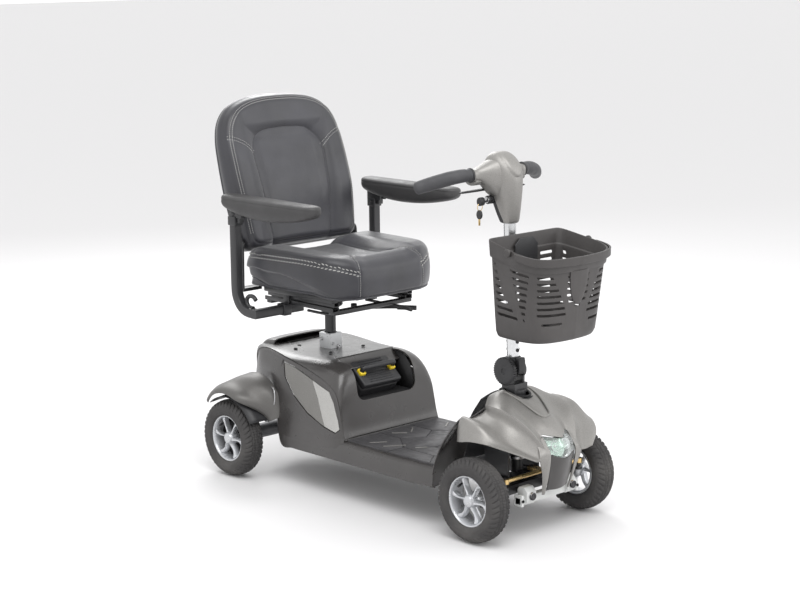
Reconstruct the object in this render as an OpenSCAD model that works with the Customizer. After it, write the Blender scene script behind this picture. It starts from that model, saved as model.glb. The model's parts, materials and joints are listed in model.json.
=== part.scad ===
// Four-wheeled mobility scooter with a swivel seat, a tilting tiller, a basket and a lift-out battery.
// +X is forward, +Y is the rider's left and +Z is up. The origin is on the ground, below the middle.

/* [Wheels] */
// Outer diameter of each tyre
tyre_d = 220; // [205:1:224]
// Width of each tyre
tyre_w = 64; // [56:1:66]
// Outer diameter of each rim
rim_d = 132; // [124:1:136]
// Distance between the front and rear axles
wheelbase = 916; // [905:1:925]
// Distance from the rear axle to the origin
rear_reach = 478; // [470:1:485]
// Distance between the middles of the front tyres
front_track = 402; // [398:1:410]
// Distance between the middles of the rear tyres
rear_track = 496; // [492:1:500]

/* [Deck and body] */
// Width of the deck and body at the lower edge
deck_w = 400; // [390:1:404]
// Height of the lower edge of the deck above the ground
deck_z = 107; // [104:1:110]
// Height of the top of the floor
floor_z = 160; // [156:1:164]
// Height of the middle of the body's crowned top
body_top_z = 358; // [350:1:362]
// Wall thickness of the moulded covers
wall = 3; // [2.5:0.1:3.5]

/* [Steering] */
// Distance from the front axle back to the steering column
column_back = 38; // [34:1:40]
// Distance between the kingpins
kingpin_span = 280; // [276:1:284]
// Length of each steering arm, from its kingpin to its tie rod pin
steer_arm = 52; // [48:1:54]
// Height of the tilt pivot of the tiller
tilt_z = 407; // [404:1:412]
// Diameter of the tiller tube
tiller_d = 31; // [28:1:32]
// Diameter of each hand grip
grip_d = 34; // [31:1:35]

/* [Seat] */
// Distance from the origin back to the seat post
post_back = 332; // [328:1:336]
// Width of the seat cushion
seat_w = 430; // [420:1:440]
// Height of the underside of the seat cushion
cushion_z = 556; // [552:1:560]
// Distance between the armrest posts, middle to middle
arm_span = 524; // [518:1:528]
// Lean of the backrest from upright, in degrees
back_lean = 14; // [12:1:16]

/* [Hidden] */
$fn = 64;

tyre_r = tyre_d / 2;
axle_z = tyre_r;
rear_x = -rear_reach;
front_x = rear_x + wheelbase;
column_x = front_x - column_back;
post_x = -post_back;
fit = 0.05;          // radial clearance of a running fit
gap = 0.4;           // clearance between pieces that pass each other

// Main frame: two rails under the floor, an axle beam and a head tube
rail_y = 60;
rail_w = 24;
rail_z = 112;
rail_back_x = -430;
kingpin_r = 8;
kingpin_boss_r = 15;
head_tube_r = 23;
column_r = 16;
head_tube_low = 180;
head_tube_top = 322;
tie_rod_z = 156;
axle_r = 8;
half_shaft_r = 10;

// Tiller
tilt_x = column_x - 14;
tilt_pin_r = 8;
tilt_boss_r = 25;
tiller_lean = 2;
tiller_len = 400;
bar_r = 11;

// Basket
basket_rim_z = 766;
basket_low_z = 508;
basket_wall = 4;
rivet_x = 507;
rivet_z = 738;

// Seat
post_r = 12;
post_flange_z = 466;
arm_tube = 25;
arm_x = -425;
arm_run_x = -345;
arm_run_z = 490;
arm_hinge_z = 752;
back_hinge_x = -470;
back_hinge_z = 664;
ear_y = 211.5;        // inner face of the backrest's hinge ears
cushion_front_x = -74;
cushion_back_x = -452;
cushion_h = 92;

// Battery, which leans forwards in its bay
battery_tilt = 40;
battery_size = [88, 142, 190];
battery_x = -264;
battery_z = 175;

// ---------- helpers ----------

// Two mirrored copies, one on each side of the middle plane
module both_sides() {
    children();
    mirror([0, 1, 0]) children();
}

// The child on the rider's left (side = 1) or right (side = -1)
module on_side(side) {
    mirror([0, side > 0 ? 0 : 1, 0]) children();
}

// Convex blend of round balls at the given points
module blend_of(points, r) {
    hull() for (p = points) translate(p) sphere(r, $fn = 16);
}

// Direction of a path at its point i
function heading(path, i) =
    let (d = path[min(i + 1, len(path) - 1)] - path[max(i - 1, 0)]) d / norm(d);

// Ring of points around a path at its point i; across is a direction that the path never takes
function ring(path, i, r, across, sides) =
    let (
        along = heading(path, i),
        n = cross(along, across),
        side = n / norm(n),
        up = cross(side, along)
    )
    [for (k = [0 : sides - 1]) path[i] + r * (cos(360 * k / sides) * side + sin(360 * k / sides) * up)];

// Round bar swept along a path of points
module swept_bar(path, r, across = [0, 0, 1], sides = 12) {
    last = len(path) - 1;
    points = [for (i = [0 : last]) each ring(path, i, r, across, sides)];
    start_cap = [[for (k = [0 : sides - 1]) sides - 1 - k]];
    end_cap = [[for (k = [0 : sides - 1]) last * sides + k]];
    walls = [
        for (i = [0 : last - 1]) for (k = [0 : sides - 1])
        let (a = i * sides + k, b = i * sides + (k + 1) % sides)
        each [[a, b, b + sides], [a, b + sides, a + sides]]
    ];
    polyhedron(points, concat(start_cap, walls, end_cap));
}

// Points of a curve from a to c that is pulled towards b
function bend(a, b, c, steps) = [
    for (i = [0 : steps]) let (t = i / steps) (1 - t) * (1 - t) * a + 2 * t * (1 - t) * b + t * t * c
];

// Cylinder along +Y that is centred on its length
module cross_cylinder(h, r) {
    rotate([90, 0, 0]) cylinder(h = h, r = r, center = true);
}

// Box that is centred across the object and starts at the given x and z
module cross_box(x0, x1, z0, z1, half_y) {
    translate([x0, -half_y, z0]) cube([x1 - x0, 2 * half_y, z1 - z0]);
}

// Cut across the underside of a cover: a side outline drawn out to half_y on both sides
module open_underside(half_y, outline) {
    translate([0, half_y, 0]) rotate([90, 0, 0]) linear_extrude(height = 2 * half_y) polygon(outline);
}

// ---------- wheels ----------

// Tyre with its axis along Y, centred on the origin
module tyre() {
    color("#1c1c1e")
    rotate([90, 0, 0]) rotate_extrude()
    polygon([
        [rim_d / 2, -22], [rim_d / 2 + 10, -tyre_w / 2 + 2], [84, -tyre_w / 2], [98, -tyre_w / 2 + 2],
        [106, -20], [tyre_r, -7], [tyre_r, 7], [106, 20],
        [98, tyre_w / 2 - 2], [84, tyre_w / 2], [rim_d / 2 + 10, tyre_w / 2 - 2], [rim_d / 2, 22],
    ]);
}

// Six-spoked rim with its axis along Y and its outer face towards +Y
module rim(hub_in, hub_out, bore_r, bore_end) {
    barrel_r = rim_d / 2;
    color("silver")
    difference() {
        union() {
            rotate([90, 0, 0]) difference() {
                cylinder(h = 44, r = barrel_r, center = true);
                cylinder(h = 50, r = barrel_r - 7, center = true);
            }
            for (i = [0 : 5]) rotate([0, 60 * i, 0])
                translate([12, 2, -6]) cube([barrel_r - 16, 14, 12]);
            translate([0, (hub_in + hub_out) / 2, 0]) cross_cylinder(hub_out - hub_in, 20);
        }
        translate([0, (hub_in - 1 + bore_end) / 2, 0]) cross_cylinder(bore_end - hub_in + 1, bore_r);
    }
}

module front_rim(side) {
    on_side(side) translate([front_x, front_track / 2, axle_z]) rim(-22, 24, axle_r + fit, 18);
}

module front_tyre(side) {
    on_side(side) translate([front_x, front_track / 2, axle_z]) tyre();
}

// Rear rim with its own half shaft, which runs into the axle tube
module rear_rim(side) {
    shaft_in = 128;
    on_side(side) {
        translate([rear_x, rear_track / 2, axle_z]) rim(-24, 24, half_shaft_r, -23);
        color("silver")
        translate([rear_x, (shaft_in + rear_track / 2 - 20) / 2, axle_z])
            cross_cylinder(rear_track / 2 - 20 - shaft_in, half_shaft_r);
    }
}

module rear_tyre(side) {
    on_side(side) translate([rear_x, rear_track / 2, axle_z]) tyre();
}

// ---------- chassis ----------

// Welded steel frame
module main_frame() {
    tower_w = 44;
    beam_w = 24;
    color("#26272a")
    difference() {
        union() {
            both_sides() translate([rail_back_x, rail_y - rail_w / 2, rail_z])
                cube([front_x - rail_back_x - beam_w / 2, rail_w, rail_w]);
            for (x = [rail_back_x, -150, 120]) cross_box(x, x + rail_w, rail_z, rail_z + rail_w, rail_y);
            cross_box(post_x - tower_w / 2, post_x + tower_w / 2, rail_z, 326, tower_w / 2);
            cross_box(post_x - 12, post_x + 12, rail_z, rail_z + rail_w, rail_y);
            // axle beam with a boss for each kingpin
            cross_box(front_x - beam_w / 2, front_x + beam_w / 2, 98, 122, kingpin_span / 2);
            both_sides() translate([front_x, kingpin_span / 2, 92]) cylinder(h = 36, r = kingpin_boss_r);
            cross_box(front_x - 80, front_x, rail_z, 122, rail_y);
            // portal that carries the head tube above the steering arm
            both_sides() translate([column_x - 60, rail_y - 6, rail_z]) cube([84, 6, 104]);
            cross_box(column_x - 60, column_x + 24, 206, 216, rail_y);
            translate([column_x, 0, head_tube_low]) cylinder(h = head_tube_top - head_tube_low, r = head_tube_r);
            // outriggers that carry the bumper
            both_sides() translate([front_x, 44, rail_z - 10]) cube([54, 12, 14]);
        }
        translate([column_x, 0, head_tube_low - 1])
            cylinder(h = head_tube_top - head_tube_low + 2, r = column_r + fit);
        both_sides() translate([front_x, kingpin_span / 2, 90]) cylinder(h = 40, r = kingpin_r + fit);
        translate([post_x, 0, 190]) cylinder(h = 140, r = post_r + fit);
    }
}

// Silver square socket that the seat post slides in
module seat_socket() {
    socket_w = 33;
    color("#d7d9db")
    difference() {
        cross_box(post_x - socket_w / 2, post_x + socket_w / 2, 326, 398, socket_w / 2);
        translate([post_x, 0, 320]) cylinder(h = 90, r = post_r + fit);
    }
}

// Rings that carry the steering column, one at each end of the head tube
module head_bearings() {
    color("silver")
    for (z = [head_tube_low - 6, head_tube_top]) translate([column_x, 0, z]) difference() {
        cylinder(h = 6, r = head_tube_r);
        translate([0, 0, -1]) cylinder(h = 8, r = column_r + fit);
    }
}

// Gearbox, axle tubes, motor and parking brake between the rear wheels
module drive_unit() {
    tube_end = rear_track / 2 - 30;
    bore_in = 120;
    motor_x = rear_x + 45;
    motor_z = axle_z + 62;
    color("#3a3b3e")
    difference() {
        union() {
            translate([rear_x, 0, axle_z]) cross_cylinder(70, 46);
            translate([rear_x, 0, axle_z]) cross_cylinder(2 * tube_end, 21);
            translate([motor_x, 0, motor_z]) cross_cylinder(150, 34);
            translate([motor_x, -80, motor_z]) cross_cylinder(24, 26);
            translate([rear_x + 14, -22, axle_z + 10]) cube([32, 44, 40]);
        }
        both_sides() translate([rear_x, (tube_end + 1 + bore_in) / 2, axle_z])
            cross_cylinder(tube_end + 1 - bore_in, half_shaft_r + fit);
    }
}

// Sealed box with the motor controller, under the floor between the rails
module controller_box() {
    half = rail_y - rail_w / 2 - gap;
    color("#55575a") {
        cross_box(-50, 70, rail_z + 4, 146, half);
        cross_box(-56, 76, rail_z + 4, rail_z + 8, half);
    }
}

// Main wiring from the motor past the controller and up beside the steering column
module wiring_loom() {
    loom_r = 4;
    route = [
        [-390, 56, 160], [-380, 57, 150], [-366, 57, 142.2], [-340, 57, 140.4], [-200, 57, 140.4],
        [-60, 57, 140.4], [80, 57, 140.4], [220, 57, 140.4], [300, 57, 140.4], [318, 56, 142.2],
        [330, 54, 152], [333, 50, 170], [333, 46, 190], [334, 42, 222],
    ];
    color("#18181a") swept_bar(route, loom_r, [0, 1, 0], 8);
}

// Place in the battery's own frame: origin at the middle of its foot, z along its length
module on_battery() {
    translate([battery_x, 0, battery_z]) rotate([0, battery_tilt, 0]) children();
}

// Box in the current frame, centred in x and y
module centred_box(size) {
    translate([-size.x / 2, -size.y / 2, 0]) cube(size);
}

// Leaning tray that holds the foot of the battery
module battery_bay() {
    tray_h = 58;
    skin = 4;
    room = [battery_size.x + 2 * gap, battery_size.y + 2 * gap, tray_h + 1];
    color("#202124")
    difference() {
        union() {
            on_battery() translate([0, 0, -gap - skin]) centred_box([room.x + 2 * skin, room.y + 2 * skin, tray_h]);
            cross_box(-262, -206, rail_z + rail_w, 152, rail_y + 6);
        }
        on_battery() translate([0, 0, -gap]) centred_box(room);
        translate([-300, 57, 140.4]) rotate([0, 90, 0]) cylinder(h = 200, r = 4.6);
    }
}

// Points of one body cross-section: half width below, half width above, shoulder and crown heights
function body_ring(x, low_w, low_z, shoulder_w, shoulder_z, crown_z) = [
    [x, low_w, low_z], [x, -low_w, low_z], [x, shoulder_w, shoulder_z], [x, -shoulder_w, shoulder_z],
    [x, shoulder_w * 0.5, crown_z - 4], [x, -shoulder_w * 0.5, crown_z - 4], [x, 0, crown_z],
];

// Outer form of the rear body, made smaller by a ball radius r
module body_form(r) {
    crown = body_top_z - 12;
    blend_of(concat(
        body_ring(-92, 176, 172, 166, 172, 176),
        body_ring(-132, 160, 296, 160, 296, crown),
        body_ring(-300, 186, 172, 160, 296, crown)
    ), r);
    blend_of(concat(
        body_ring(-290, 172, 172, 160, 296, crown),
        body_ring(-500, 150, 262, 140, 300, crown),
        body_ring(-540, 120, 262, 110, 280, 300)
    ), r);
}

// Crowned rear cover with the battery window in its front and top
module body_cover() {
    window_y = 110;
    color("#242528")
    difference() {
        body_form(12);
        body_form(12 - wall);
        open_underside(150, [
            [-600, 150], [-98, 150], [-98, 180], [-300, 180], [-380, 226], [-500, 286], [-600, 286],
        ]);
        cross_box(-190, -60, 256, 380, window_y);
        translate([post_x, 0, 300]) cylinder(h = 80, r = 32);
        both_sides() translate([rear_x, rear_track / 2 - 24, axle_z]) cross_cylinder(110, tyre_r + 34);
        both_sides() side_panel_form(1);
    }
}

// Leaf-shaped inlay in one side of the body, grown by a margin
module side_panel_form(margin) {
    side_lean = 12;
    side_y = 236;
    translate([0, side_y, 0]) rotate([90 + side_lean, 0, 0]) translate([0, 0, -2 - 2 * margin])
    linear_extrude(height = 6 + 6 * margin)
    polygon([
        [-372 - margin, 316 + margin], [-330, 318 + margin], [-200, 256 + margin], [-146 + margin, 196],
        [-166, 188 - margin], [-250, 200 - margin], [-345 - margin, 262 - margin],
    ]);
}

module side_panel(side) {
    color("#8d9093") on_side(side) side_panel_form(0);
}

// Curved guard over one rear tyre
module rear_fender(side) {
    color("#7f8285")
    on_side(side) translate([rear_x, 0, axle_z]) rotate([90, 0, 0]) mirror([0, 0, 1])
    rotate([0, 0, 24]) rotate_extrude(angle = 100)
    polygon([
        [150, 190], [146, 235], [136, 270], [122, 280], [119, 279.5],
        [119, 277], [132, 267], [142, 233], [146, 190],
    ]);
}

// Floor pan that hangs its skirts over the frame
module deck_tray() {
    half = deck_w / 2;
    inner = half - wall;
    color("#2a2b2e")
    difference() {
        rotate([90, 0, 90]) translate([0, 0, -320]) linear_extrude(height = 612)
        polygon([
            [-half, deck_z], [-half + 2, deck_z + 26], [-half + 14, floor_z - 4], [-half + 20, floor_z - 2],
            [half - 20, floor_z - 2], [half - 14, floor_z - 4], [half - 2, deck_z + 26], [half, deck_z],
            [inner, deck_z], [inner - 2, deck_z + 26], [inner - 13, floor_z - 6 - wall],
            [-inner + 13, floor_z - 6 - wall], [-inner + 2, deck_z + 26], [-inner, deck_z],
        ]);
        cross_box(-330, -101, 140, 170, half - 22);
    }
}

// Grooved rubber mat on the floor
module deck_mat() {
    mat_x0 = -72;
    mat_x1 = 284;
    color("#2f3033")
    difference() {
        cross_box(mat_x0, mat_x1, floor_z - 2, floor_z + 4, deck_w / 2 - 24);
        for (x = [mat_x0 + 50 : 50 : mat_x1 - 40])
            cross_box(x, x + 3, floor_z + 2.5, floor_z + 5, deck_w / 2 - 40);
    }
}

// Outer form of the front hood over the wheels and the column, made smaller by a ball radius r
module hood_form(r) {
    both_sides() blend_of([
        [336, 206, 228], [372, 168, 295], [420, 216, 246], [480, 224, 250], [520, 205, 246],
        [470, 90, 290], [540, 66, 226], [400, 96, 318], [345, 120, 280], [352, 80, 300],
    ], r);
    blend_of([
        [352, 70, 318], [352, -70, 318], [372, 30, 341], [372, -30, 341], [420, 26, 326], [420, -26, 326],
        [500, 24, 294], [500, -24, 294], [548, 34, 212], [548, -34, 212], [340, 90, 250], [340, -90, 250],
    ], r);
}

// Front hood with a fender on each side
module front_shroud() {
    color("#85888b")
    difference() {
        hood_form(12);
        hood_form(12 - wall);
        cross_box(250, 620, 150, 226, 260);
        open_underside(100, [
            [300, 150], [530, 150], [530, 225], [480, 262], [352, 262], [330, 240], [300, 240],
        ]);
        both_sides() translate([345, 95, 150]) cube([170, 118, 94]);
        translate([column_x + 4, 0, 280]) cylinder(h = 100, r = 38);
        headlamp_form(0.3);
    }
}

// Inner liners that close the space behind the front wheels
module wheel_arch_liner() {
    color("#1d1d20")
    difference() {
        rotate([90, 0, 0]) translate([0, 0, -205]) linear_extrude(height = 410)
        polygon([
            [293, deck_z + 2], [297, deck_z + 2], [300, 150], [314, 182], [336, 222], [332, 224],
            [310, 184], [296, 152],
        ]);
        cross_box(280, 350, 100, 140, 76);
        translate([290, 30, 128]) cube([52, 36, 100]);
    }
}

// Headlamp: a pointed window in the front of the hood
module headlamp_form(margin) {
    translate([0, 0, 205 - margin]) linear_extrude(height = 54 + 2 * margin)
    polygon([
        [520 - margin, 46 + margin], [556, 44], [566 + margin, 20], [568 + margin, 0], [566 + margin, -20],
        [556, -44], [520 - margin, -46 - margin],
    ]);
}

module headlamp_lens() {
    color("#c9d4cf")
    difference() {
        headlamp_form(0);
        cross_box(510, 550, 208, 256, 40);
    }
}

// Black panel below the headlamp, with two legs
module nose_panel() {
    color("#1f2022")
    difference() {
        union() {
            cross_box(518, 556, 150, 204.6, 42);
            both_sides() translate([520, 30, 112]) cube([18, 16, 40]);
        }
        cross_box(510, 548, 140, 200, 36);
    }
}

// Crossbar with two blocks, in front of the axle
module front_bumper() {
    color("#c2c5c8")
    difference() {
        union() {
            cross_box(front_x + 54, front_x + 78, 90, 110, 106);
            both_sides() translate([front_x + 50, 62, 88]) cube([36, 30, 46]);
        }
        both_sides() translate([front_x + 76, 77, 112]) rotate([0, 90, 0]) cylinder(h = 12, r = 6);
    }
}

// Bolts in the bumper blocks and in the seat socket's foot
module frame_bolts() {
    bolt_r = 6;
    color("#2b2b2d") {
        both_sides() translate([front_x + 76, 77, 112]) rotate([0, 90, 0]) {
            cylinder(h = 10, r = bolt_r);
            translate([0, 0, 10]) cylinder(h = 6, r = 10, $fn = 48);
        }
        for (x = [post_x - 19, post_x + 19]) translate([x - 1.5, 0, 340]) rotate([0, 90, 0])
            cylinder(h = 3, r = 5);
    }
}

// Lever at the right rear that lets the wheels turn freely, with its cross shaft
module freewheel_lever() {
    lever_y = -176;
    motor_end = -92.4;
    color("#b9bcbf")
    translate([rear_x + 62, 0, axle_z + 52]) {
        translate([0, (lever_y + motor_end) / 2, 0]) cross_cylinder(motor_end - lever_y, 5);
        translate([0, lever_y, 0]) cross_cylinder(6, 9);
        rotate([0, 45, 0]) translate([-4, lever_y - 3, 0]) cube([8, 6, 44]);
    }
}

// ---------- steering ----------

// Column with the steering arm below and the tilt clevis above
module steering_stem() {
    cheek_in = 17;
    color("#1b1b1d")
    difference() {
        union() {
            translate([column_x, 0, tie_rod_z - 18]) cylinder(h = 356 - tie_rod_z + 18, r = column_r);
            translate([column_x, 0, head_tube_top + 6]) cylinder(h = 30, r = 22);
            translate([column_x, -11, tie_rod_z - 18]) cube([steer_arm, 22, 8]);
            translate([column_x + steer_arm, 0, tie_rod_z - 18]) cylinder(h = 8, r = 11);
            translate([column_x + steer_arm, 0, tie_rod_z - 18]) cylinder(h = 24, r = 4);
            translate([column_x - 16, -24, 348]) cube([30, 48, 26]);
            both_sides() translate([tilt_x, cheek_in, 0]) {
                translate([-18, 0, 360]) cube([36, 7, tilt_z - 360]);
                translate([0, 3.5, tilt_z]) cross_cylinder(7, tilt_boss_r);
            }
            translate([tilt_x, 0, tilt_z]) cross_cylinder(2 * cheek_in + 1, tilt_pin_r);
        }
    }
}

// One stub axle with its kingpin and steering arm
module knuckle(side) {
    pin_y = kingpin_span / 2;
    color("#2d2d30")
    on_side(side) {
        translate([front_x, pin_y, 80]) cylinder(h = 60, r = kingpin_r);
        for (z = [80, 128.5]) {
            translate([front_x, pin_y, z]) cylinder(h = 11, r = 14);
            translate([front_x - 12, pin_y, z]) cube([24, 26, 11]);
        }
        translate([front_x - 12, pin_y + 16, 80]) cube([24, 10, 59.5]);
        translate([front_x, pin_y + 20, axle_z]) rotate([-90, 0, 0])
            cylinder(h = front_track / 2 + 14 - pin_y - 20, r = axle_r);
        translate([front_x, pin_y - 9, 131.5]) cube([steer_arm, 18, 8]);
        translate([front_x + steer_arm, pin_y, 131.5]) cylinder(h = 8, r = 9);
        translate([front_x + steer_arm, pin_y, 131.5]) cylinder(h = 32, r = 4);
    }
}

// Rod that joins both steering arms and the column's arm
module tie_rod() {
    eye_x = front_x + steer_arm;
    plate_x = column_x + steer_arm;
    color("#b59a4a")
    difference() {
        union() {
            translate([eye_x, 0, tie_rod_z]) cross_cylinder(kingpin_span, 6);
            both_sides() translate([eye_x, kingpin_span / 2, tie_rod_z - 6]) cylinder(h = 12, r = 10);
            translate([plate_x, -12, tie_rod_z - 4]) cube([eye_x - plate_x, 24, 8]);
            translate([plate_x, 0, tie_rod_z - 4]) cylinder(h = 8, r = 12);
        }
        both_sides() translate([eye_x, kingpin_span / 2, tie_rod_z - 10]) cylinder(h = 20, r = 4 + fit);
        translate([plate_x, 0, tie_rod_z - 10]) cylinder(h = 20, r = 4 + fit);
    }
}

// ---------- tiller ----------

// Place in the tiller's own frame: origin at the tilt pivot, z along the tube
module on_tiller() {
    translate([tilt_x, 0, tilt_z]) rotate([0, -tiller_lean, 0]) children();
}

// Tube with the tilt boss at its foot
module tiller_post() {
    on_tiller() {
        color("#1b1b1d")
        difference() {
            union() {
                cross_cylinder(32, tilt_boss_r);
                translate([0, 0, 25.8]) cylinder(h = 26, r = tiller_d / 2 + 4);
                translate([-12, -12, 0]) cube([24, 24, 30]);
            }
            cross_cylinder(40, tilt_pin_r + fit);
            translate([0, 0, 30]) cylinder(h = 40, r = tiller_d / 2);
        }
        color("silver") translate([0, 0, 30]) cylinder(h = tiller_len - 30, r = tiller_d / 2);
    }
}

// Toothed disc that locks the tilt
module tilt_knob() {
    knob_r = 32;
    teeth = 24;
    color("#161618")
    translate([tilt_x, -24.5, tilt_z]) rotate([90, 0, 0]) {
        cylinder(h = 15, r = knob_r - 3);
        for (i = [0 : teeth - 1]) rotate([0, 0, i * 360 / teeth])
            translate([knob_r - 4, -2, 1]) cube([4, 4, 12]);
        translate([0, 0, 15]) cylinder(h = 3, r = 11);
    }
}

// Clamp and hook plate that the basket hangs on
module basket_bracket() {
    clamp_z = 300;
    color("#161618")
    on_tiller() {
        difference() {
            union() {
                translate([0, 0, clamp_z]) cylinder(h = 34, r = tiller_d / 2 + 7);
                translate([tiller_d / 2, -26, clamp_z + 4]) cube([18, 52, 26]);
                translate([tiller_d / 2 + 14, -34, clamp_z - 40]) cube([6, 68, 80]);
            }
            translate([0, 0, clamp_z - 1]) cylinder(h = 36, r = tiller_d / 2);
        }
    }
}

// Outer form of the tiller head, made smaller by a ball radius r
module head_form(r) {
    blend_of([
        [tilt_x - 8, 14, 806], [tilt_x - 8, -14, 806], [392, 26, 870], [392, -26, 870],
        [392, 24, 938], [392, -24, 938], [352, 44, 946], [352, -44, 946],
        [320, 56, 926], [320, -56, 926], [312, 48, 892], [312, -48, 892],
        [350, 30, 840], [350, -30, 840], [362, 0, 958], [336, 0, 956],
    ], r);
}

// Grey front half of the head
module head_cover() {
    color("#8a8d90")
    difference() {
        head_form(12);
        head_form(12 - wall);
        translate([tilt_x - 14, 0, 780]) cylinder(h = 60, r = tiller_d / 2 + 1);
        head_split(0);
        dash_hardware(0.3);
        translate([330, 0, 914]) cross_cylinder(160, bar_r + 8);
        cross_box(296, 344, 862, 888, 90);
        key_place() cross_cylinder(60, 4 + fit);
    }
}

// The space behind the split between the two halves of the head
module head_split(shift) {
    translate([250 - shift, -100, 780]) rotate([0, 12, 0]) cube([90, 200, 150]);
}

// Black rear half of the head
module head_housing() {
    color("#1c1c1f")
    difference() {
        intersection() {
            head_form(12);
            head_split(0.3);
        }
        head_form(12 - wall);
        translate([tilt_x - 14, 0, 780]) cylinder(h = 60, r = tiller_d / 2 + 1);
        dash_hardware(0.3);
        translate([330, 0, 914]) cross_cylinder(160, bar_r + 8);
        cross_box(296, 344, 862, 888, 90);
        key_place() cross_cylinder(60, 4 + fit);
    }
}

// Middle line of one half of the handlebar, from the head out to the end of the grip
function bar_half(side) = bend([330, side * 50, 914], [322, side * 142, 922], [250, side * 232, 886], 8);

// Middle line of the whole handlebar, from the right grip's end to the left one's
function bar_points() =
    let (right = bar_half(-1)) concat([for (i = [8 : -1 : 0]) right[i]], bar_half(1));

// Steel handlebar and the stem that holds it in the head
module handlebar() {
    stem_top = [330, 0, 914];
    stem_foot = [tilt_x - 15, 0, 822];
    color("#2a2a2c") {
        swept_bar(bar_points(), bar_r);
        swept_bar([stem_top, stem_foot], 9, [0, 1, 0]);
    }
}

// Soft grip on one end of the handlebar
module grip(side) {
    half = bar_half(1);
    grip_path = [for (i = [3 : 8]) half[i]];
    tip = half[8] + 6 * heading(half, 8);
    color("#3a3b3e")
    on_side(side) difference() {
        swept_bar(concat(grip_path, [tip]), grip_d / 2);
        swept_bar(half, bar_r + 0.1);
    }
}

// Place on the sloping dash: origin at the dash middle, z out of its face
module on_dash() {
    translate([322, 0, 948]) rotate([0, -28, 0]) children();
}

// Wells for the dial and the horn button
module dash_hardware(margin) {
    on_dash() {
        translate([0, 0, -20]) cylinder(h = 50, r = 15 + margin);
        translate([2, 34, -24]) cylinder(h = 50, r = 7 + margin);
    }
}

// Speed dial
module speed_dial() {
    color("#28282a")
    on_dash() {
        translate([0, 0, -8]) cylinder(h = 20, r = 14.6);
        translate([-13, -1.5, 12]) cube([10, 3, 2]);
    }
}

// Horn button
module horn_button() {
    color("#c8892e")
    on_dash() translate([2, 34, -12]) cylinder(h = 20, r = 6.8);
}

// Finger paddle that drives the scooter forwards or backwards
module throttle_paddle() {
    color("#141416")
    translate([318, 0, 868]) {
        cylinder(h = 14, r = 9);
        both_sides() translate([-4, 0, 2]) cube([8, 118, 9]);
    }
}

// Place of the lock, low on the right of the head
module key_place() {
    translate([338, -50, 846]) children();
}

// Key in its lock
module ignition_key() {
    color("silver")
    key_place() rotate([90, 0, 0]) {
        cylinder(h = 12, r = 4);
        translate([-9, -26, 9]) cube([18, 28, 2]);
    }
}

// ---------- basket ----------

// Rounded outline of the basket at one height
module basket_slice(z, back, front, half, t) {
    translate([0, 0, z]) linear_extrude(height = 0.1)
    polygon([
        [back + t, half * 0.9 - t], [back + 14 + t, half - t], [(back + front) / 2 - t, half * 1.1 - t],
        [front - 34 - t, half - t], [front - 8 - t, half * 0.7 - t], [front - t, 0],
        [front - 8 - t, -half * 0.7 + t], [front - 34 - t, -half + t], [(back + front) / 2 - t, -half * 1.1 + t],
        [back + 14 + t, -half + t], [back + t, -half * 0.9 + t],
    ]);
}

module basket_form(t) {
    hull() {
        basket_slice(basket_low_z + t, 422, 532, 96, t);
        basket_slice(basket_rim_z - 46, 422, 564, 129, t);
    }
    hull() {
        basket_slice(basket_rim_z - 46, 422, 564, 129, t);
        basket_slice(basket_rim_z + (t > 0 ? 3 : 0), 422, 573, 133, t);
    }
}

// Slotted open basket
module basket() {
    color("#2b2c2f")
    difference() {
        basket_form(0);
        basket_form(basket_wall);
        for (z = [basket_low_z + 40 : 26 : basket_rim_z - 70]) {
            for (x = [452, 506]) translate([x, -170, z]) cube([38, 340, 9]);
            for (y = [-70, 24]) translate([500, y, z]) cube([100, 46, 9]);
        }
        translate([500, 0, basket_rim_z + 8]) rotate([0, 8, 0]) cube([300, 400, 16], center = true);
        both_sides() translate([rivet_x, 140, rivet_z]) cross_cylinder(40, 4 + fit);
    }
}

// Carrying handle that folds down around the front of the rim
module basket_handle() {
    side_y = 153;
    reach = 76;
    squareness = 0.5;
    path = [
        for (t = [-90 : 10 : 90])
        let (c = pow(abs(cos(t)), squareness), q = sign(t) * pow(abs(sin(t)), squareness))
        [rivet_x + reach * c, side_y * q, rivet_z]
    ];
    color("#232427") {
        both_sides() {
            translate([rivet_x, side_y, rivet_z]) cross_cylinder(6, 9);
            translate([rivet_x, side_y - 7, rivet_z]) cross_cylinder(12, 4);
        }
        swept_bar(path, 5);
    }
}

// ---------- seat ----------

// Round post that slides in the socket, with its flange
module seat_post() {
    color("#202023")
    translate([post_x, 0, 0]) {
        translate([0, 0, 240]) cylinder(h = 226, r = post_r);
        translate([0, 0, 440]) cylinder(h = 10, r = 25);
        translate([0, 0, post_flange_z - 8]) cylinder(h = 8, r = 36);
        translate([0, 0, post_flange_z]) cylinder(h = 20, r = 10);
    }
}

// Swivel plate with the two fixed rails of the seat slide
module swivel_base() {
    color("#1d1d20")
    difference() {
        union() {
            translate([post_x, 0, post_flange_z + gap]) cylinder(h = 18, r = 34);
            cross_box(-436, -150, 484.4, 488, 60);
            both_sides() translate([-438, 128, 508]) cube([336, 20, 9]);
            for (x = [-436, -170]) {
                cross_box(x, x + 20, 486, 508, 60);
                cross_box(x, x + 20, 503, 508, 148);
            }
        }
        translate([post_x, 0, post_flange_z - 1]) cylinder(h = 40, r = 10 + fit);
    }
}

// Lever under the left of the seat that frees the swivel
module swivel_lever() {
    pivot = [-286, 50, 471];
    tip = [-154, 172, 471];
    color("#161618") {
        translate([pivot.x, pivot.y, 467]) cylinder(h = 17, r = 9);
        swept_bar([pivot, tip], 4);
    }
}

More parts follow.
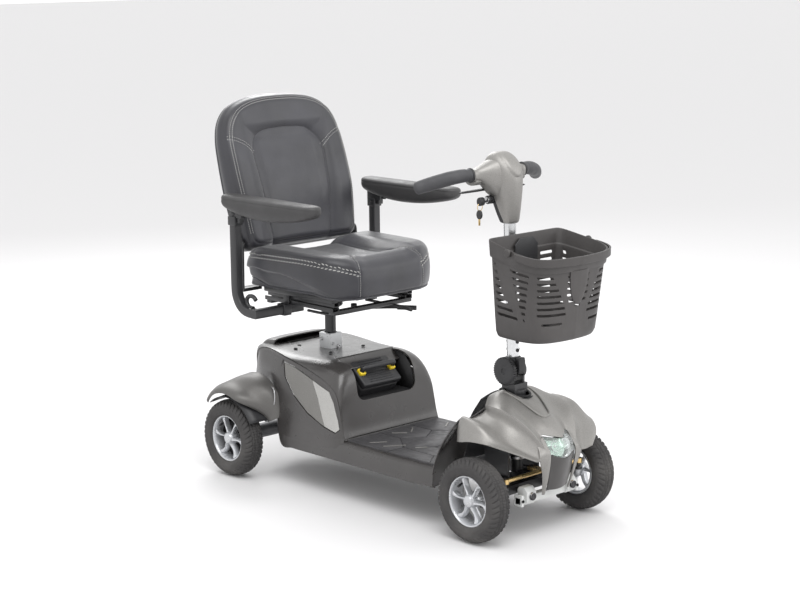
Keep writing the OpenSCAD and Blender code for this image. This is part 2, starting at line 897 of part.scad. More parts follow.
// Seat frame that slides on the rails, with the receivers of the armrest posts
module seat_pan() {
    tube_in = arm_tube / 2 + gap;
    tube_out = tube_in + 3;
    color("#1d1d20")
    difference() {
        union() {
            both_sides() {
                translate([-428, 124, 517.4]) cube([340, 28, 12]);
                translate([-428, 140, 529]) cube([348, 24, 14]);
                // receiver and its hanger
                translate([arm_run_x - tube_out, 152, arm_run_z - tube_out])
                    cube([2 * tube_out, 56, 2 * tube_out]);
                translate([arm_run_x - tube_out, 152, arm_run_z]) cube([2 * tube_out, 56, 53]);
                // ear of the backrest hinge
                translate([-486, 150, 531]) cube([58, ear_y + 5 - 150, 12]);
                translate([-486, ear_y, 531]) cube([32, 5, back_hinge_z - 531]);
                translate([back_hinge_x, ear_y + 2.5, back_hinge_z]) cross_cylinder(5, 16);
            }
            both_sides() translate([-428, 140, 543]) cube([344, 24, cushion_z - gap - 3 - 543]);
            for (x = [-428, -260, -108]) cross_box(x, x + 24, 535, 543, 152);
            cross_box(-428, -84, cushion_z - gap - 3, cushion_z - gap, 164);
        }
        both_sides() {
            translate([arm_run_x - tube_in, 150, arm_run_z - tube_in]) cube([2 * tube_in, 60, 2 * tube_in]);
            translate([back_hinge_x, ear_y, back_hinge_z]) cross_cylinder(30, 6 + fit);
        }
    }
}

// Bail under the front of the seat that frees the seat slide
module slide_lever() {
    bail_y = 112;
    bail_x = -94;
    pivot = [-300, 484];
    color("#161618") {
        cross_box(bail_x - 10, bail_x, 480, 484, bail_y);
        both_sides() {
            translate([pivot.x, bail_y - 4, 480]) cube([bail_x - pivot.x, 4, 8]);
            translate([pivot.x, bail_y, pivot.y]) cross_cylinder(8, 4);
        }
    }
}

// Boxed seat cushion with round front corners
module seat_cushion() {
    half = seat_w / 2 - 14;
    color("#2d2e33")
    hull() {
        for (z = [cushion_z + 12, cushion_z + cushion_h - 16]) both_sides() {
            translate([cushion_back_x + 20, half - 12, z]) sphere(12, $fn = 24);
            translate([-190, half, z]) sphere(12, $fn = 24);
            translate([-120, half - 36, z]) sphere(12, $fn = 24);
            translate([cushion_front_x - 14, 116, z]) sphere(12, $fn = 24);
        }
    }
}

// Place on the backrest: origin at its foot, z along the leaning back
module on_back() {
    translate([back_hinge_x, 0, back_hinge_z]) rotate([0, -back_lean, 0]) children();
}

// Back plate of the backrest, with its hinge plates and pins
module back_frame() {
    plate_x = -34;
    cheek_y = ear_y - 5.5;
    color("#1d1d20")
    on_back() {
        both_sides() {
            translate([0, ear_y - 3, 0]) cross_cylinder(5, 14);
            translate([-10, cheek_y, 0]) cube([20, 5, 34]);
            translate([plate_x, cheek_y, 8]) cube([34, 5, 26]);
            translate([0, ear_y, 0]) cross_cylinder(11, 6);
        }
        translate([plate_x, -cheek_y, 8]) cube([4, 2 * cheek_y, 26]);
        translate([plate_x, -180, 8]) cube([4, 360, 290]);
    }
}

// Padded backrest with a rounded top
module back_cushion() {
    ball = 13;
    color("#2d2e33")
    on_back()
    hull() both_sides() {
        for (x = [-16, 8]) translate([x, 188, -8]) sphere(ball, $fn = 24);
        for (x = [-16, 24]) translate([x, 202, 180]) sphere(ball, $fn = 24);
        for (x = [-14, 2]) translate([x, 198, 335]) sphere(ball, $fn = 24);
        for (x = [-10, 0]) translate([x, 110, 394]) sphere(ball, $fn = 24);
    }
}

// Square tube that carries one armrest: upright, swept forwards and then inwards under the seat
module arm_post(side) {
    bend_r = 60;
    run_in = 100;
    half = arm_tube / 2;
    post_y = arm_span / 2;
    color("#1b1b1d")
    on_side(side) {
        translate([arm_x - half, post_y - half, arm_run_z + bend_r]) cube([arm_tube, arm_tube, 176]);
        // sweep from upright to forwards
        translate([arm_x + bend_r, post_y, arm_run_z + bend_r]) rotate([90, 0, 0])
            rotate([0, 0, 180]) rotate_extrude(angle = 90) translate([bend_r - half, -half]) square(arm_tube);
        // sweep from forwards to inwards
        translate([arm_x + bend_r - 1, post_y - half, arm_run_z - half])
            cube([arm_run_x + half - arm_x - bend_r + 1, arm_tube, arm_tube]);
        translate([arm_run_x - half, run_in, arm_run_z - half]) cube([arm_tube, post_y + half - run_in, arm_tube]);
        // hinge cheek at the top
        difference() {
            union() {
                translate([arm_x - 22, post_y - 3, 716]) cube([44, 6, 30]);
                translate([arm_x, post_y, arm_hinge_z]) cross_cylinder(10, 14);
            }
            translate([arm_x, post_y, arm_hinge_z]) cross_cylinder(30, 5 + fit);
        }
    }
}

// Padded armrest that lifts about its rear hinge
module armrest(side) {
    post_y = arm_span / 2;
    color("#232326")
    on_side(side) {
        hull() for (p = [[-452, 16], [-440, 24], [-200, 27], [-84, 22], [-72, 12]]) {
            translate([p.x, post_y + p.y - 8, 800]) sphere(13, $fn = 24);
            translate([p.x, post_y - p.y + 8, 800]) sphere(13, $fn = 24);
        }
        for (y = [post_y - 12, post_y + 7]) {
            translate([arm_x - 16, y, arm_hinge_z - 10]) cube([56, 5, 46]);
        }
        translate([arm_x, post_y, arm_hinge_z]) cross_cylinder(22, 5);
    }
}

// ---------- battery ----------

// Lift-out battery with its carrying handle
module battery_case() {
    grip_y = 50;
    grip_h = 24;
    color("#1a1a1c")
    on_battery() {
        centred_box(battery_size);
        both_sides() translate([-8, grip_y, battery_size.z]) cube([16, 12, grip_h]);
        translate([0, 0, battery_size.z + grip_h - 4]) cross_cylinder(2 * grip_y + 24, 8);
    }
}

main_frame();
drive_unit();
controller_box();
wiring_loom();
battery_bay();
body_cover();
side_panel(1);  // side_panel_left
side_panel(-1);  // side_panel_right
rear_fender(1);  // rear_fender_left
rear_fender(-1);  // rear_fender_right
deck_tray();
deck_mat();
front_shroud();
wheel_arch_liner();
headlamp_lens();
nose_panel();
front_bumper();
seat_socket();
head_bearings();
frame_bolts();
freewheel_lever();
rear_rim(1);  // rear_rim_left
rear_tyre(1);  // rear_tyre_left
rear_rim(-1);  // rear_rim_right
rear_tyre(-1);  // rear_tyre_right
steering_stem();
knuckle(1);  // knuckle_left
knuckle(-1);  // knuckle_right
tie_rod();
front_rim(1);  // front_rim_left
front_tyre(1);  // front_tyre_left
front_rim(-1);  // front_rim_right
front_tyre(-1);  // front_tyre_right
tiller_post();
tilt_knob();
basket_bracket();
head_cover();
head_housing();
handlebar();
grip(1);  // grip_left
grip(-1);  // grip_right
throttle_paddle();
speed_dial();
horn_button();
ignition_key();
basket();
basket_handle();
seat_post();
swivel_base();
swivel_lever();
seat_pan();
slide_lever();
seat_cushion();
back_frame();
back_cushion();
arm_post(1);  // arm_post_left
arm_post(-1);  // arm_post_right
armrest(1);  // armrest_left
armrest(-1);  // armrest_right
battery_case();
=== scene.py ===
"""Looks of the mobility scooter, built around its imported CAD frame."""

import json
import math

import bmesh
import bpy
from mathutils import Matrix, Vector
from mathutils.bvhtree import BVHTree
from mathutils.kdtree import KDTree


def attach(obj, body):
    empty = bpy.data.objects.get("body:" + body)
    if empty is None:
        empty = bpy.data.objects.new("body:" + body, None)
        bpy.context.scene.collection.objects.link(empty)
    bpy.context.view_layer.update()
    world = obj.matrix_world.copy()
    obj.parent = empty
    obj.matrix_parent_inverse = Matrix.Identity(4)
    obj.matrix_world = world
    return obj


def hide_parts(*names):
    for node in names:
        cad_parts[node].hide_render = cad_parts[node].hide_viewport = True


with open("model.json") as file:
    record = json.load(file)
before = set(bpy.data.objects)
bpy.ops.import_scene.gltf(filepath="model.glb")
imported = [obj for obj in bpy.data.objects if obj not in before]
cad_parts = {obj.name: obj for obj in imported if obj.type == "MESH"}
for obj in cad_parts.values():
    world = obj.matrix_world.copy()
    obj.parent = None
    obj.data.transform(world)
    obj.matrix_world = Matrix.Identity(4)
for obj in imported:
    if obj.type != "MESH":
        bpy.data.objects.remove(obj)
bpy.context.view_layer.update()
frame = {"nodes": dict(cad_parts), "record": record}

MM = 0.001
SIDES = {"left": 1, "right": -1}

# Driving sizes in millimetres, angles in radians, and the direction that the dash faces
AXLE_Z = 110
REAR_X = -478
FRONT_X = 438
REAR_Y = 248
FRONT_Y = 201
TILT = (386, 407)
TILLER_LEAN = math.radians(2)
BACK_HINGE = (-470, 664)
BACK_LEAN = math.radians(14)
ARM_Y = 262
POST_X = -332
DASH_UP = (-0.469, 0, 0.883)
BATTERY_FOOT = (-264, 175)
BATTERY_TILT = math.radians(40)


# ---------- small geometry helpers ----------

def mm(x, y, z):
    """A point given in millimetres, in metres."""
    return Vector((x, y, z)) * MM


def smoothstep(t):
    """0 up to t = 0, 1 from t = 1, and a smooth rise between them."""
    t = max(0.0, min(1.0, t))
    return t * t * (3 - 2 * t)


def turns(count):
    """count angles evenly spread over one full turn, in radians."""
    return [2 * math.pi * k / count for k in range(count)]


def signed_power(value, power):
    """A power of the value's size that keeps its sign."""
    return math.copysign(abs(value) ** power, value)


def span(near, far, side):
    """Two distances from the middle plane on one side, the lower first."""
    return sorted((near * side, far * side))


def oval(a, b, wide, tall, count):
    """count points of an oval around (a, b) that reaches wide and tall from its middle."""
    return [(a + wide * math.cos(t), b + tall * math.sin(t)) for t in turns(count)]


def spline(points, count):
    """count points of a smooth curve through the given ones, evenly spaced by parameter."""
    points = [Vector(p) for p in points]
    last = len(points) - 1
    out = []
    for i in range(count):
        t = i * last / (count - 1)
        k = min(int(t), last - 1)
        f = t - k
        p1, p2 = points[k], points[k + 1]
        p0 = points[k - 1] if k > 0 else 2 * p1 - p2
        p3 = points[k + 2] if k + 2 <= last else 2 * p2 - p1
        out.append(0.5 * (2 * p1 + (p2 - p0) * f + (2 * p0 - 5 * p1 + 4 * p2 - p3) * f * f
                          + (3 * p1 - p0 - 3 * p2 + p3) * f ** 3))
    return out


def resample(points, count):
    """count points at even distances along a polyline."""
    lengths = [0.0]
    for a, b in zip(points, points[1:]):
        lengths.append(lengths[-1] + (b - a).length)
    out = []
    k = 0
    for i in range(count):
        s = lengths[-1] * i / (count - 1)
        while k < len(points) - 2 and lengths[k + 1] < s:
            k += 1
        span = lengths[k + 1] - lengths[k]
        out.append(points[k].lerp(points[k + 1], (s - lengths[k]) / span if span else 0))
    return out


def smooth_curve(points, count):
    """An evenly spaced smooth curve through the given points."""
    return resample(spline(points, count * 4), count)


def new_object(name, mesh):
    """Mesh object linked to the scene."""
    obj = bpy.data.objects.new(name, mesh)
    bpy.context.scene.collection.objects.link(obj)
    return obj


def from_faces(name, verts, faces, smooth=True):
    """Mesh object from points in metres and faces given by point numbers."""
    mesh = bpy.data.meshes.new(name)
    mesh.from_pydata([tuple(v) for v in verts], [], faces)
    mesh.update()
    if smooth:
        mesh.polygons.foreach_set("use_smooth", [True] * len(mesh.polygons))
    return new_object(name, mesh)


def grid(name, rows, closed_rows=False, closed_columns=False):
    """Quads over rows of points that all have the same length."""
    n = len(rows[0])
    m = len(rows)
    faces = []
    for i in range(m if closed_columns else m - 1):
        for j in range(n if closed_rows else n - 1):
            a, b = i * n, ((i + 1) % m) * n
            faces.append((a + j, a + (j + 1) % n, b + (j + 1) % n, b + j))
    return from_faces(name, [p for row in rows for p in row], faces)


def loft(name, rings, caps=True):
    """Skin over closed rings, with flat or rounded ends."""
    obj = grid(name, rings, closed_rows=True)
    if caps:
        bm = bmesh.new()
        bm.from_mesh(obj.data)
        bm.verts.ensure_lookup_table()
        n = len(rings[0])
        first = [bm.verts[i] for i in range(n)]
        last = [bm.verts[(len(rings) - 1) * n + i] for i in range(n)]
        bm.faces.new(first[::-1])
        bm.faces.new(last)
        bmesh.ops.recalc_face_normals(bm, faces=bm.faces)
        bm.to_mesh(obj.data)
        bm.free()
        obj.data.polygons.foreach_set("use_smooth", [True] * len(obj.data.polygons))
    return obj


def solid_box(name, low, high, bevel=1.0, segments=3):
    """Box between two corners in millimetres, with rounded edges."""
    corners = [(x, y, z) for x in (low[0], high[0]) for y in (low[1], high[1]) for z in (low[2], high[2])]
    faces = [(0, 1, 3, 2), (4, 6, 7, 5), (0, 4, 5, 1), (2, 3, 7, 6), (0, 2, 6, 4), (1, 5, 7, 3)]
    obj = from_faces(name, [mm(*c) for c in corners], faces)
    return bevelled(obj, bevel, segments)


def use(obj, kind, **settings):
    """Adds a modifier and applies it."""
    mod = obj.modifiers.new(kind.lower(), kind)
    for key, value in settings.items():
        setattr(mod, key, value)
    return bake(obj)


def bake(obj):
    """Applies every modifier on the object."""
    bpy.context.view_layer.update()
    graph = bpy.context.evaluated_depsgraph_get()
    mesh = bpy.data.meshes.new_from_object(obj.evaluated_get(graph), depsgraph=graph)
    obj.modifiers.clear()
    old = obj.data
    obj.data = mesh
    if old.users == 0 and isinstance(old, bpy.types.Mesh):
        bpy.data.meshes.remove(old)
    return obj


def bevelled(obj, width, segments=3, angle=30):
    """Rounds the edges that turn by more than the angle, in degrees; the width is in millimetres."""
    return use(obj, "BEVEL", width=width * MM, segments=segments, limit_method="ANGLE",
               angle_limit=math.radians(angle), harden_normals=False)


def thick(obj, depth, offset=-1.0):
    """Gives a skin a thickness in millimetres; the offset says on which side of it."""
    return use(obj, "SOLIDIFY", thickness=depth * MM, offset=offset, use_even_offset=True)


def subdivided(obj, levels=1):
    """Smooths a mesh by subdivision."""
    return use(obj, "SUBSURF", levels=levels, render_levels=levels)


def cut(obj, *cutters):
    """Takes the cutters out of the object and removes them."""
    for cutter in cutters:
        use(obj, "BOOLEAN", operation="DIFFERENCE", object=cutter, solver="EXACT")
        bpy.data.objects.remove(cutter)
    return obj


def joined(name, objs):
    """One object out of several."""
    bpy.context.view_layer.update()
    mesh = bpy.data.meshes.new(name)
    bm = bmesh.new()
    for obj in objs:
        part = bpy.data.meshes.new_from_object(obj) if obj.type == "CURVE" else obj.data
        start = len(bm.verts)
        bm.from_mesh(part)
        bm.verts.ensure_lookup_table()
        bmesh.ops.transform(bm, matrix=obj.matrix_world, verts=bm.verts[start:])
    bm.to_mesh(mesh)
    bm.free()
    out = new_object(name, mesh)
    for obj in objs:
        bpy.data.objects.remove(obj)
    return out


def tube(name, points, radius, sides=6, closed=False, radii=None):
    """Round bar of one radius, in millimetres, along points in metres, with domed ends."""
    curve = bpy.data.curves.new(name, "CURVE")
    curve.dimensions = "3D"
    curve.bevel_depth = radius * MM
    curve.bevel_resolution = sides
    curve.use_fill_caps = True
    line = curve.splines.new("POLY")
    line.points.add(len(points) - 1)
    for i, p in enumerate(points):
        line.points[i].co = (*p, 1)
        if radii:
            line.points[i].radius = radii[i]
    line.use_cyclic_u = closed
    obj = new_object(name, curve)
    bpy.context.view_layer.update()
    mesh = bpy.data.meshes.new_from_object(obj)
    bpy.data.objects.remove(obj)
    mesh.polygons.foreach_set("use_smooth", [True] * len(mesh.polygons))
    return new_object(name, mesh)


def lathe(name, profile, place, steps=64):
    """Profile of (along, radius) pairs in millimetres, turned about the X axis of place."""
    rings = []
    for i in range(steps):
        a = 2 * math.pi * i / steps
        rings.append([place @ mm(x, r * math.cos(a), r * math.sin(a)) for x, r in profile])
    obj = grid(name, rings, closed_columns=True)
    bm = bmesh.new()
    bm.from_mesh(obj.data)
    bmesh.ops.remove_doubles(bm, verts=bm.verts, dist=1e-6)
    bmesh.ops.recalc_face_normals(bm, faces=bm.faces)
    bm.to_mesh(obj.data)
    bm.free()
    return obj


def facing(origin, along, up=(0, 0, 1)):
    """Frame at a point in millimetres whose X axis runs along a direction."""
    x = Vector(along).normalized()
    up = Vector(up)
    if abs(x.dot(up)) > 0.99:
        up = Vector((0, 1, 0))
    y = up.cross(x).normalized()
    z = x.cross(y)
    matrix = Matrix((x, y, z)).transposed().to_4x4()
    matrix.translation = mm(*origin)
    return matrix


def bolt(name, origin, along, r=6, head=4):
    """Round-headed bolt with a socket, standing on a surface at origin, in millimetres."""
    profile = [(-1, 0.01), (-1, r), (head * 0.5, r), (head * 0.85, r * 0.93), (head, r * 0.78),
               (head, r * 0.5), (head * 0.45, r * 0.45), (head * 0.45, 0.01)]
    return lathe(name, profile, facing(origin, along), steps=24)


def extruded(name, outline, low, high, axis="y"):
    """Outline of (a, b) pairs drawn out across an axis, all in millimetres."""
    n = len(outline)
    place = {"y": lambda a, b, c: mm(a, c, b), "x": lambda a, b, c: mm(c, a, b),
             "z": lambda a, b, c: mm(a, b, c)}[axis]
    verts = [place(a, b, low) for a, b in outline] + [place(a, b, high) for a, b in outline]
    faces = [tuple(range(n)), tuple(range(n, 2 * n))]
    faces += [(i, (i + 1) % n, n + (i + 1) % n, n + i) for i in range(n)]
    obj = from_faces(name, verts, faces)
    bm = bmesh.new()
    bm.from_mesh(obj.data)
    bmesh.ops.recalc_face_normals(bm, faces=bm.faces)
    bm.to_mesh(obj.data)
    bm.free()
    return obj


def finished(obj, material, body, replaces=()):
    """Gives a piece its material and the CAD body that it moves with."""
    obj.data.materials.clear()
    obj.data.materials.append(MATERIALS[material])
    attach(obj, body)
    if replaces:
        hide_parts(*replaces)
    return obj


def crisp(obj, angle=32):
    """Keeps edges sharper than an angle as visible folds."""
    obj.data.set_sharp_from_angle(angle=math.radians(angle))
    return obj


def surface_between(name, lines, along, across):
    """Skin through guide lines that all have the same number of points, in millimetres."""
    guides = [spline([mm(*p) for p in line], along) for line in lines]
    columns = []
    for i in range(along):
        section = [guide[i] for guide in guides]
        columns.append(spline(section, across))
    return grid(name, columns)


def mirrored_join(name, obj):
    """The object and its mirror image across the middle plane, merged where they meet."""
    bm = bmesh.new()
    bm.from_mesh(obj.data)
    other = bmesh.ops.duplicate(bm, geom=bm.verts[:] + bm.edges[:] + bm.faces[:])
    copies = [g for g in other["geom"] if isinstance(g, bmesh.types.BMVert)]
    faces = [g for g in other["geom"] if isinstance(g, bmesh.types.BMFace)]
    for vert in copies:
        vert.co.y = -vert.co.y
    bmesh.ops.reverse_faces(bm, faces=faces)
    bmesh.ops.remove_doubles(bm, verts=bm.verts, dist=0.0004)
    bmesh.ops.recalc_face_normals(bm, faces=bm.faces)
    mesh = bpy.data.meshes.new(name)
    bm.to_mesh(mesh)
    bm.free()
    bpy.data.objects.remove(obj)
    mesh.polygons.foreach_set("use_smooth", [True] * len(mesh.polygons))
    return new_object(name, mesh)


def flip(obj):
    """Mirrors an object's mesh, in place, across the middle plane."""
    bpy.context.view_layer.update()
    obj.data.transform(obj.matrix_world)
    obj.matrix_world = Matrix.Identity(4)
    obj.data.transform(Matrix.Scale(-1, 4, (0, 1, 0)))
    obj.data.flip_normals()
    return obj


def grown(outline, margin):
    """The outline pushed outwards by a margin at every corner."""
    n = len(outline)
    area = sum(outline[i][0] * outline[(i + 1) % n][1] - outline[(i + 1) % n][0] * outline[i][1]
               for i in range(n))
    turn = 1 if area > 0 else -1
    out = []
    for i in range(n):
        a, b, c = (Vector(outline[(i + k) % n]) for k in (-1, 0, 1))
        d1, d2 = (b - a).normalized(), (c - b).normalized()
        n1, n2 = Vector((d1.y, -d1.x)) * turn, Vector((d2.y, -d2.x)) * turn
        mid = (n1 + n2).normalized()
        out.append(tuple(b + mid * margin / max(0.4, mid.dot(n1))))
    return out


def outward(obj):
    """Turns all faces of a closed mesh to face out."""
    bm = bmesh.new()
    bm.from_mesh(obj.data)
    bmesh.ops.recalc_face_normals(bm, faces=bm.faces)
    bm.to_mesh(obj.data)
    bm.free()
    return obj


# ---------- materials ----------

class Nodes:
    """A new material and short calls that add nodes to it."""

    def __init__(self, name):
        self.material = bpy.data.materials.new(name)
        self.material.use_nodes = True
        self.tree = self.material.node_tree
        self.shader = self.tree.nodes["Principled BSDF"]
        coordinates = self.tree.nodes.new("ShaderNodeTexCoord")
        self.place = coordinates.outputs["Object"]

    def set(self, **values):
        names = {"color": "Base Color", "rough": "Roughness", "metallic": "Metallic", "coat": "Coat Weight",
                 "coat_rough": "Coat Roughness", "sheen": "Sheen Weight", "sheen_rough": "Sheen Roughness",
                 "ior": "IOR", "transmission": "Transmission Weight", "specular": "Specular IOR Level"}
        for key, value in values.items():
            socket = self.shader.inputs[names[key]]
            socket.default_value = (*value, 1) if key == "color" else value
        return self

    def link(self, a, b):
        self.tree.links.new(a, b)

    def noise(self, scale, detail=3.0, stretch=None):
        node = self.tree.nodes.new("ShaderNodeTexNoise")
        node.inputs["Scale"].default_value = scale
        node.inputs["Detail"].default_value = detail
        self.link(self.scaled(stretch), node.inputs["Vector"])
        return node.outputs["Fac"]

    def cells(self, scale, feature="DISTANCE_TO_EDGE"):
        node = self.tree.nodes.new("ShaderNodeTexVoronoi")
        node.feature = feature
        node.inputs["Scale"].default_value = scale
        self.link(self.place, node.inputs["Vector"])
        return node.outputs["Distance"]

    def scaled(self, stretch):
        if stretch is None:
            return self.place
        node = self.tree.nodes.new("ShaderNodeMapping")
        node.inputs["Scale"].default_value = stretch
        self.link(self.place, node.inputs["Vector"])
        return node.outputs["Vector"]

    def between(self, value, low, high, start=0.3, end=0.7):
        """Maps a value's start..end to low..high."""
        node = self.tree.nodes.new("ShaderNodeMapRange")
        node.inputs["From Min"].default_value = start
        node.inputs["From Max"].default_value = end
        node.inputs["To Min"].default_value = low
        node.inputs["To Max"].default_value = high
        self.link(value, node.inputs["Value"])
        return node.outputs["Result"]

    def mixed(self, factor, a, b):
        """Colour that runs from a to b with the factor."""
        node = self.tree.nodes.new("ShaderNodeMix")
        node.data_type = "RGBA"
        node.inputs["A"].default_value = (*a, 1)
        node.inputs["B"].default_value = (*b, 1)
        self.link(factor, node.inputs["Factor"])
        return node.outputs["Result"]

    def bump(self, height, strength, distance):
        """Stacks one more bump on the shader."""
        node = self.tree.nodes.new("ShaderNodeBump")
        node.inputs["Strength"].default_value = strength
        node.inputs["Distance"].default_value = distance
        self.link(height, node.inputs["Height"])
        socket = self.shader.inputs["Normal"]
        if socket.links:
            self.link(socket.links[0].from_socket, node.inputs["Normal"])
        self.link(node.outputs["Normal"], socket)
        return self


def coated(name, color, rough, metallic=0.0, grain=1400, bump=0.00008, spread=0.06, coat=0.0, tone=0.12):
    """Painted or moulded surface: fine grain, a slow drift of tone and uneven gloss."""
    n = Nodes(name).set(metallic=metallic, coat=coat, coat_rough=0.18)
    drift = n.noise(9, 2)
    dark = tuple(c * (1 - tone) for c in color)
    light = tuple(min(1, c * (1 + tone)) for c in color)
    n.link(n.mixed(n.between(drift, 0, 1), dark, light), n.shader.inputs["Base Color"])
    n.link(n.between(n.noise(30, 4), rough - spread, rough + spread), n.shader.inputs["Roughness"])
    n.bump(n.noise(grain, 2), 0.35, bump)
    return n.material


def metallic_paint(name, color, rough):
    """Metallic paint with visible fine flakes."""
    n = Nodes(name).set(metallic=0.55, coat=0.12, coat_rough=0.35, rough=rough)
    flakes = n.between(n.cells(900, "F1"), 0, 1, 0.1, 0.9)
    dark = tuple(c * 0.80 for c in color)
    light = tuple(min(1, c * 1.2) for c in color)
    n.link(n.mixed(flakes, light, dark), n.shader.inputs["Base Color"])
    n.link(n.between(n.noise(22, 4), rough - 0.05, rough + 0.06), n.shader.inputs["Roughness"])
    n.bump(n.noise(700, 2), 0.25, 0.00010)
    n.bump(n.noise(14, 2), 0.12, 0.0012)
    return n.material


def vinyl_material():
    """Slate vinyl: leather grain, soft sheen and faint creases."""
    n = Nodes("vinyl").set(sheen=0.25, sheen_rough=0.45, specular=0.5)
    drift = n.between(n.noise(7, 3), 0, 1)
    n.link(n.mixed(drift, (0.026, 0.026, 0.030), (0.040, 0.040, 0.048)), n.shader.inputs["Base Color"])
    n.link(n.between(n.noise(26, 4), 0.30, 0.43), n.shader.inputs["Roughness"])
    n.bump(n.cells(520), 0.35, 0.00045)
    n.bump(n.noise(1500, 3), 0.3, 0.0001)
    n.bump(n.noise(11, 3), 0.22, 0.004)
    return n.material


def thread_material():
    """Light stitching thread."""
    n = Nodes("stitch_thread").set(sheen=0.3)
    n.link(n.mixed(n.noise(400, 2), (0.30, 0.30, 0.29), (0.52, 0.51, 0.49)), n.shader.inputs["Base Color"])
    n.link(n.between(n.noise(900, 2), 0.55, 0.8), n.shader.inputs["Roughness"])
    n.bump(n.noise(3000, 2), 0.5, 0.0002)
    return n.material


def rubber_material(name, color, dust, rough=0.72):
    """Rubber with patches of dust."""
    n = Nodes(name).set(specular=0.35)
    n.link(n.mixed(n.between(n.noise(16, 5), 0, 1, 0.45, 0.75), color, dust), n.shader.inputs["Base Color"])
    n.link(n.between(n.noise(60, 4), rough - 0.1, rough + 0.12), n.shader.inputs["Roughness"])
    n.bump(n.noise(900, 3), 0.4, 0.00015)
    return n.material


def machined(name, color, rough, metallic=1.0, stretch=(1, 1, 14)):
    """Bare or plated metal with fine drawn marks."""
    n = Nodes(name).set(metallic=metallic)
    marks = n.noise(180, 4, stretch)
    n.link(n.mixed(n.noise(24, 3), tuple(c * 0.86 for c in color), color), n.shader.inputs["Base Color"])
    n.link(n.between(marks, rough - 0.07, rough + 0.1), n.shader.inputs["Roughness"])
    n.bump(marks, 0.2, 0.00006)
    return n.material


def glass_material():
    """Clear lamp glass with faint waves."""
    n = Nodes("lamp_glass").set(transmission=0.92, ior=1.49, color=(0.93, 0.97, 0.96))
    n.link(n.between(n.noise(40, 3), 0.03, 0.10), n.shader.inputs["Roughness"])
    n.bump(n.noise(60, 2), 0.1, 0.0004)
    return n.material


MATERIALS = {
    "frame_steel": coated("frame_steel", (0.026, 0.026, 0.028), 0.38, coat=0.15),
    "silver_paint": coated("silver_paint", (0.66, 0.67, 0.68), 0.33, metallic=0.25, coat=0.2, tone=0.05),
    "bare_steel": machined("bare_steel", (0.62, 0.62, 0.63), 0.30),
    "cast_alloy": coated("cast_alloy", (0.17, 0.172, 0.178), 0.55, metallic=0.6, grain=600, bump=0.0003),
    "brass_rod": machined("brass_rod", (0.72, 0.52, 0.24), 0.28),
    "black_plastic": coated("black_plastic", (0.022, 0.022, 0.024), 0.48, grain=1800, bump=0.00012),
    "satin_black_cover": coated("satin_black_cover", (0.042, 0.039, 0.038), 0.31, grain=2200, bump=0.00003,
                                coat=0.4),
    "grey_cover": metallic_paint("grey_cover", (0.27, 0.262, 0.25), 0.46),
    "pale_cover": metallic_paint("pale_cover", (0.44, 0.435, 0.42), 0.46),
    "grey_dark": metallic_paint("grey_dark", (0.21, 0.205, 0.195), 0.50),
    "floor_rubber": rubber_material("floor_rubber", (0.046, 0.045, 0.048), (0.074, 0.072, 0.076), 0.5),
    "tyre_rubber": rubber_material("tyre_rubber", (0.048, 0.046, 0.046), (0.084, 0.080, 0.077)),
    "silver_rim": coated("silver_rim", (0.56, 0.57, 0.59), 0.30, metallic=0.6, coat=0.3, tone=0.06),
    "lamp_glass": glass_material(),
    "bumper_paint": coated("bumper_paint", (0.60, 0.61, 0.60), 0.42, tone=0.06),
    "tiller_silver": machined("tiller_silver", (0.80, 0.81, 0.82), 0.24),
    "grip_rubber": rubber_material("grip_rubber", (0.052, 0.052, 0.056), (0.070, 0.070, 0.074), 0.58),
    "horn_amber": coated("horn_amber", (0.62, 0.30, 0.05), 0.3, coat=0.3),
    "basket_plastic": coated("basket_plastic", (0.052, 0.048, 0.047), 0.50, grain=1500, bump=0.00016),
    "vinyl": vinyl_material(),
    "thread": thread_material(),
    "arm_pad": coated("arm_pad", (0.040, 0.039, 0.040), 0.50, grain=2600, bump=0.00014),
    "dark_void": coated("dark_void", (0.012, 0.012, 0.013), 0.7),
    "reflector": coated("reflector", (0.55, 0.68, 0.60), 0.16, metallic=0.85, grain=300, bump=0.0005),
    "yellow_plastic": coated("yellow_plastic", (0.82, 0.60, 0.02), 0.38, coat=0.15),
    # Same grey paint as grey_cover, darkened: painted shade for the rear fenders, which face down and away
    # from the light
    "grey_fender_painted_shade": metallic_paint("grey_fender_painted_shade", (0.125, 0.121, 0.116), 0.48),
}
SLOT_OF = {part["node"]: part["material_slot"] for part in frame["record"]["subparts"]}


def dress_cad_nodes():
    """Gives every CAD node the material of its slot."""
    for name, obj in frame["nodes"].items():
        obj.data.materials.clear()
        obj.data.materials.append(MATERIALS[SLOT_OF[name]])


# ---------- camera and light ----------

def add_camera():
    """Camera at the viewpoint of the picture."""
    yaw = math.radians(46.025)
    pitch = math.radians(10.83)
    roll = math.radians(-0.437)
    back = Vector((math.sin(yaw) * math.cos(pitch), -math.cos(yaw) * math.cos(pitch), math.sin(pitch)))
    right = (-back).cross(Vector((0, 0, 1))).normalized()
    up = right.cross(-back)
    r = math.cos(roll) * right + math.sin(roll) * up
    u = -math.sin(roll) * right + math.cos(roll) * up
    data = bpy.data.cameras.new("camera")
    data.lens = 82.85
    data.sensor_width = 36
    data.shift_x = -0.02685
    data.shift_y = -0.00457
    camera = bpy.data.objects.new("camera", data)
    camera.matrix_world = Matrix((r, u, back)).transposed().to_4x4()
    camera.matrix_world.translation = (3.572, -3.403, 1.492)
    bpy.context.scene.collection.objects.link(camera)
    bpy.context.scene.camera = camera


def add_light(name, kind, position, target, energy, size):
    """Staged lamp of one kind that points at a target."""
    data = bpy.data.lights.new(name, kind)
    data.energy = energy
    data.size = size
    light = bpy.data.objects.new(name, data)
    light.location = position
    light.rotation_euler = (Vector(target) - Vector(position)).to_track_quat("-Z", "Y").to_euler()
    bpy.context.scene.collection.objects.link(light)


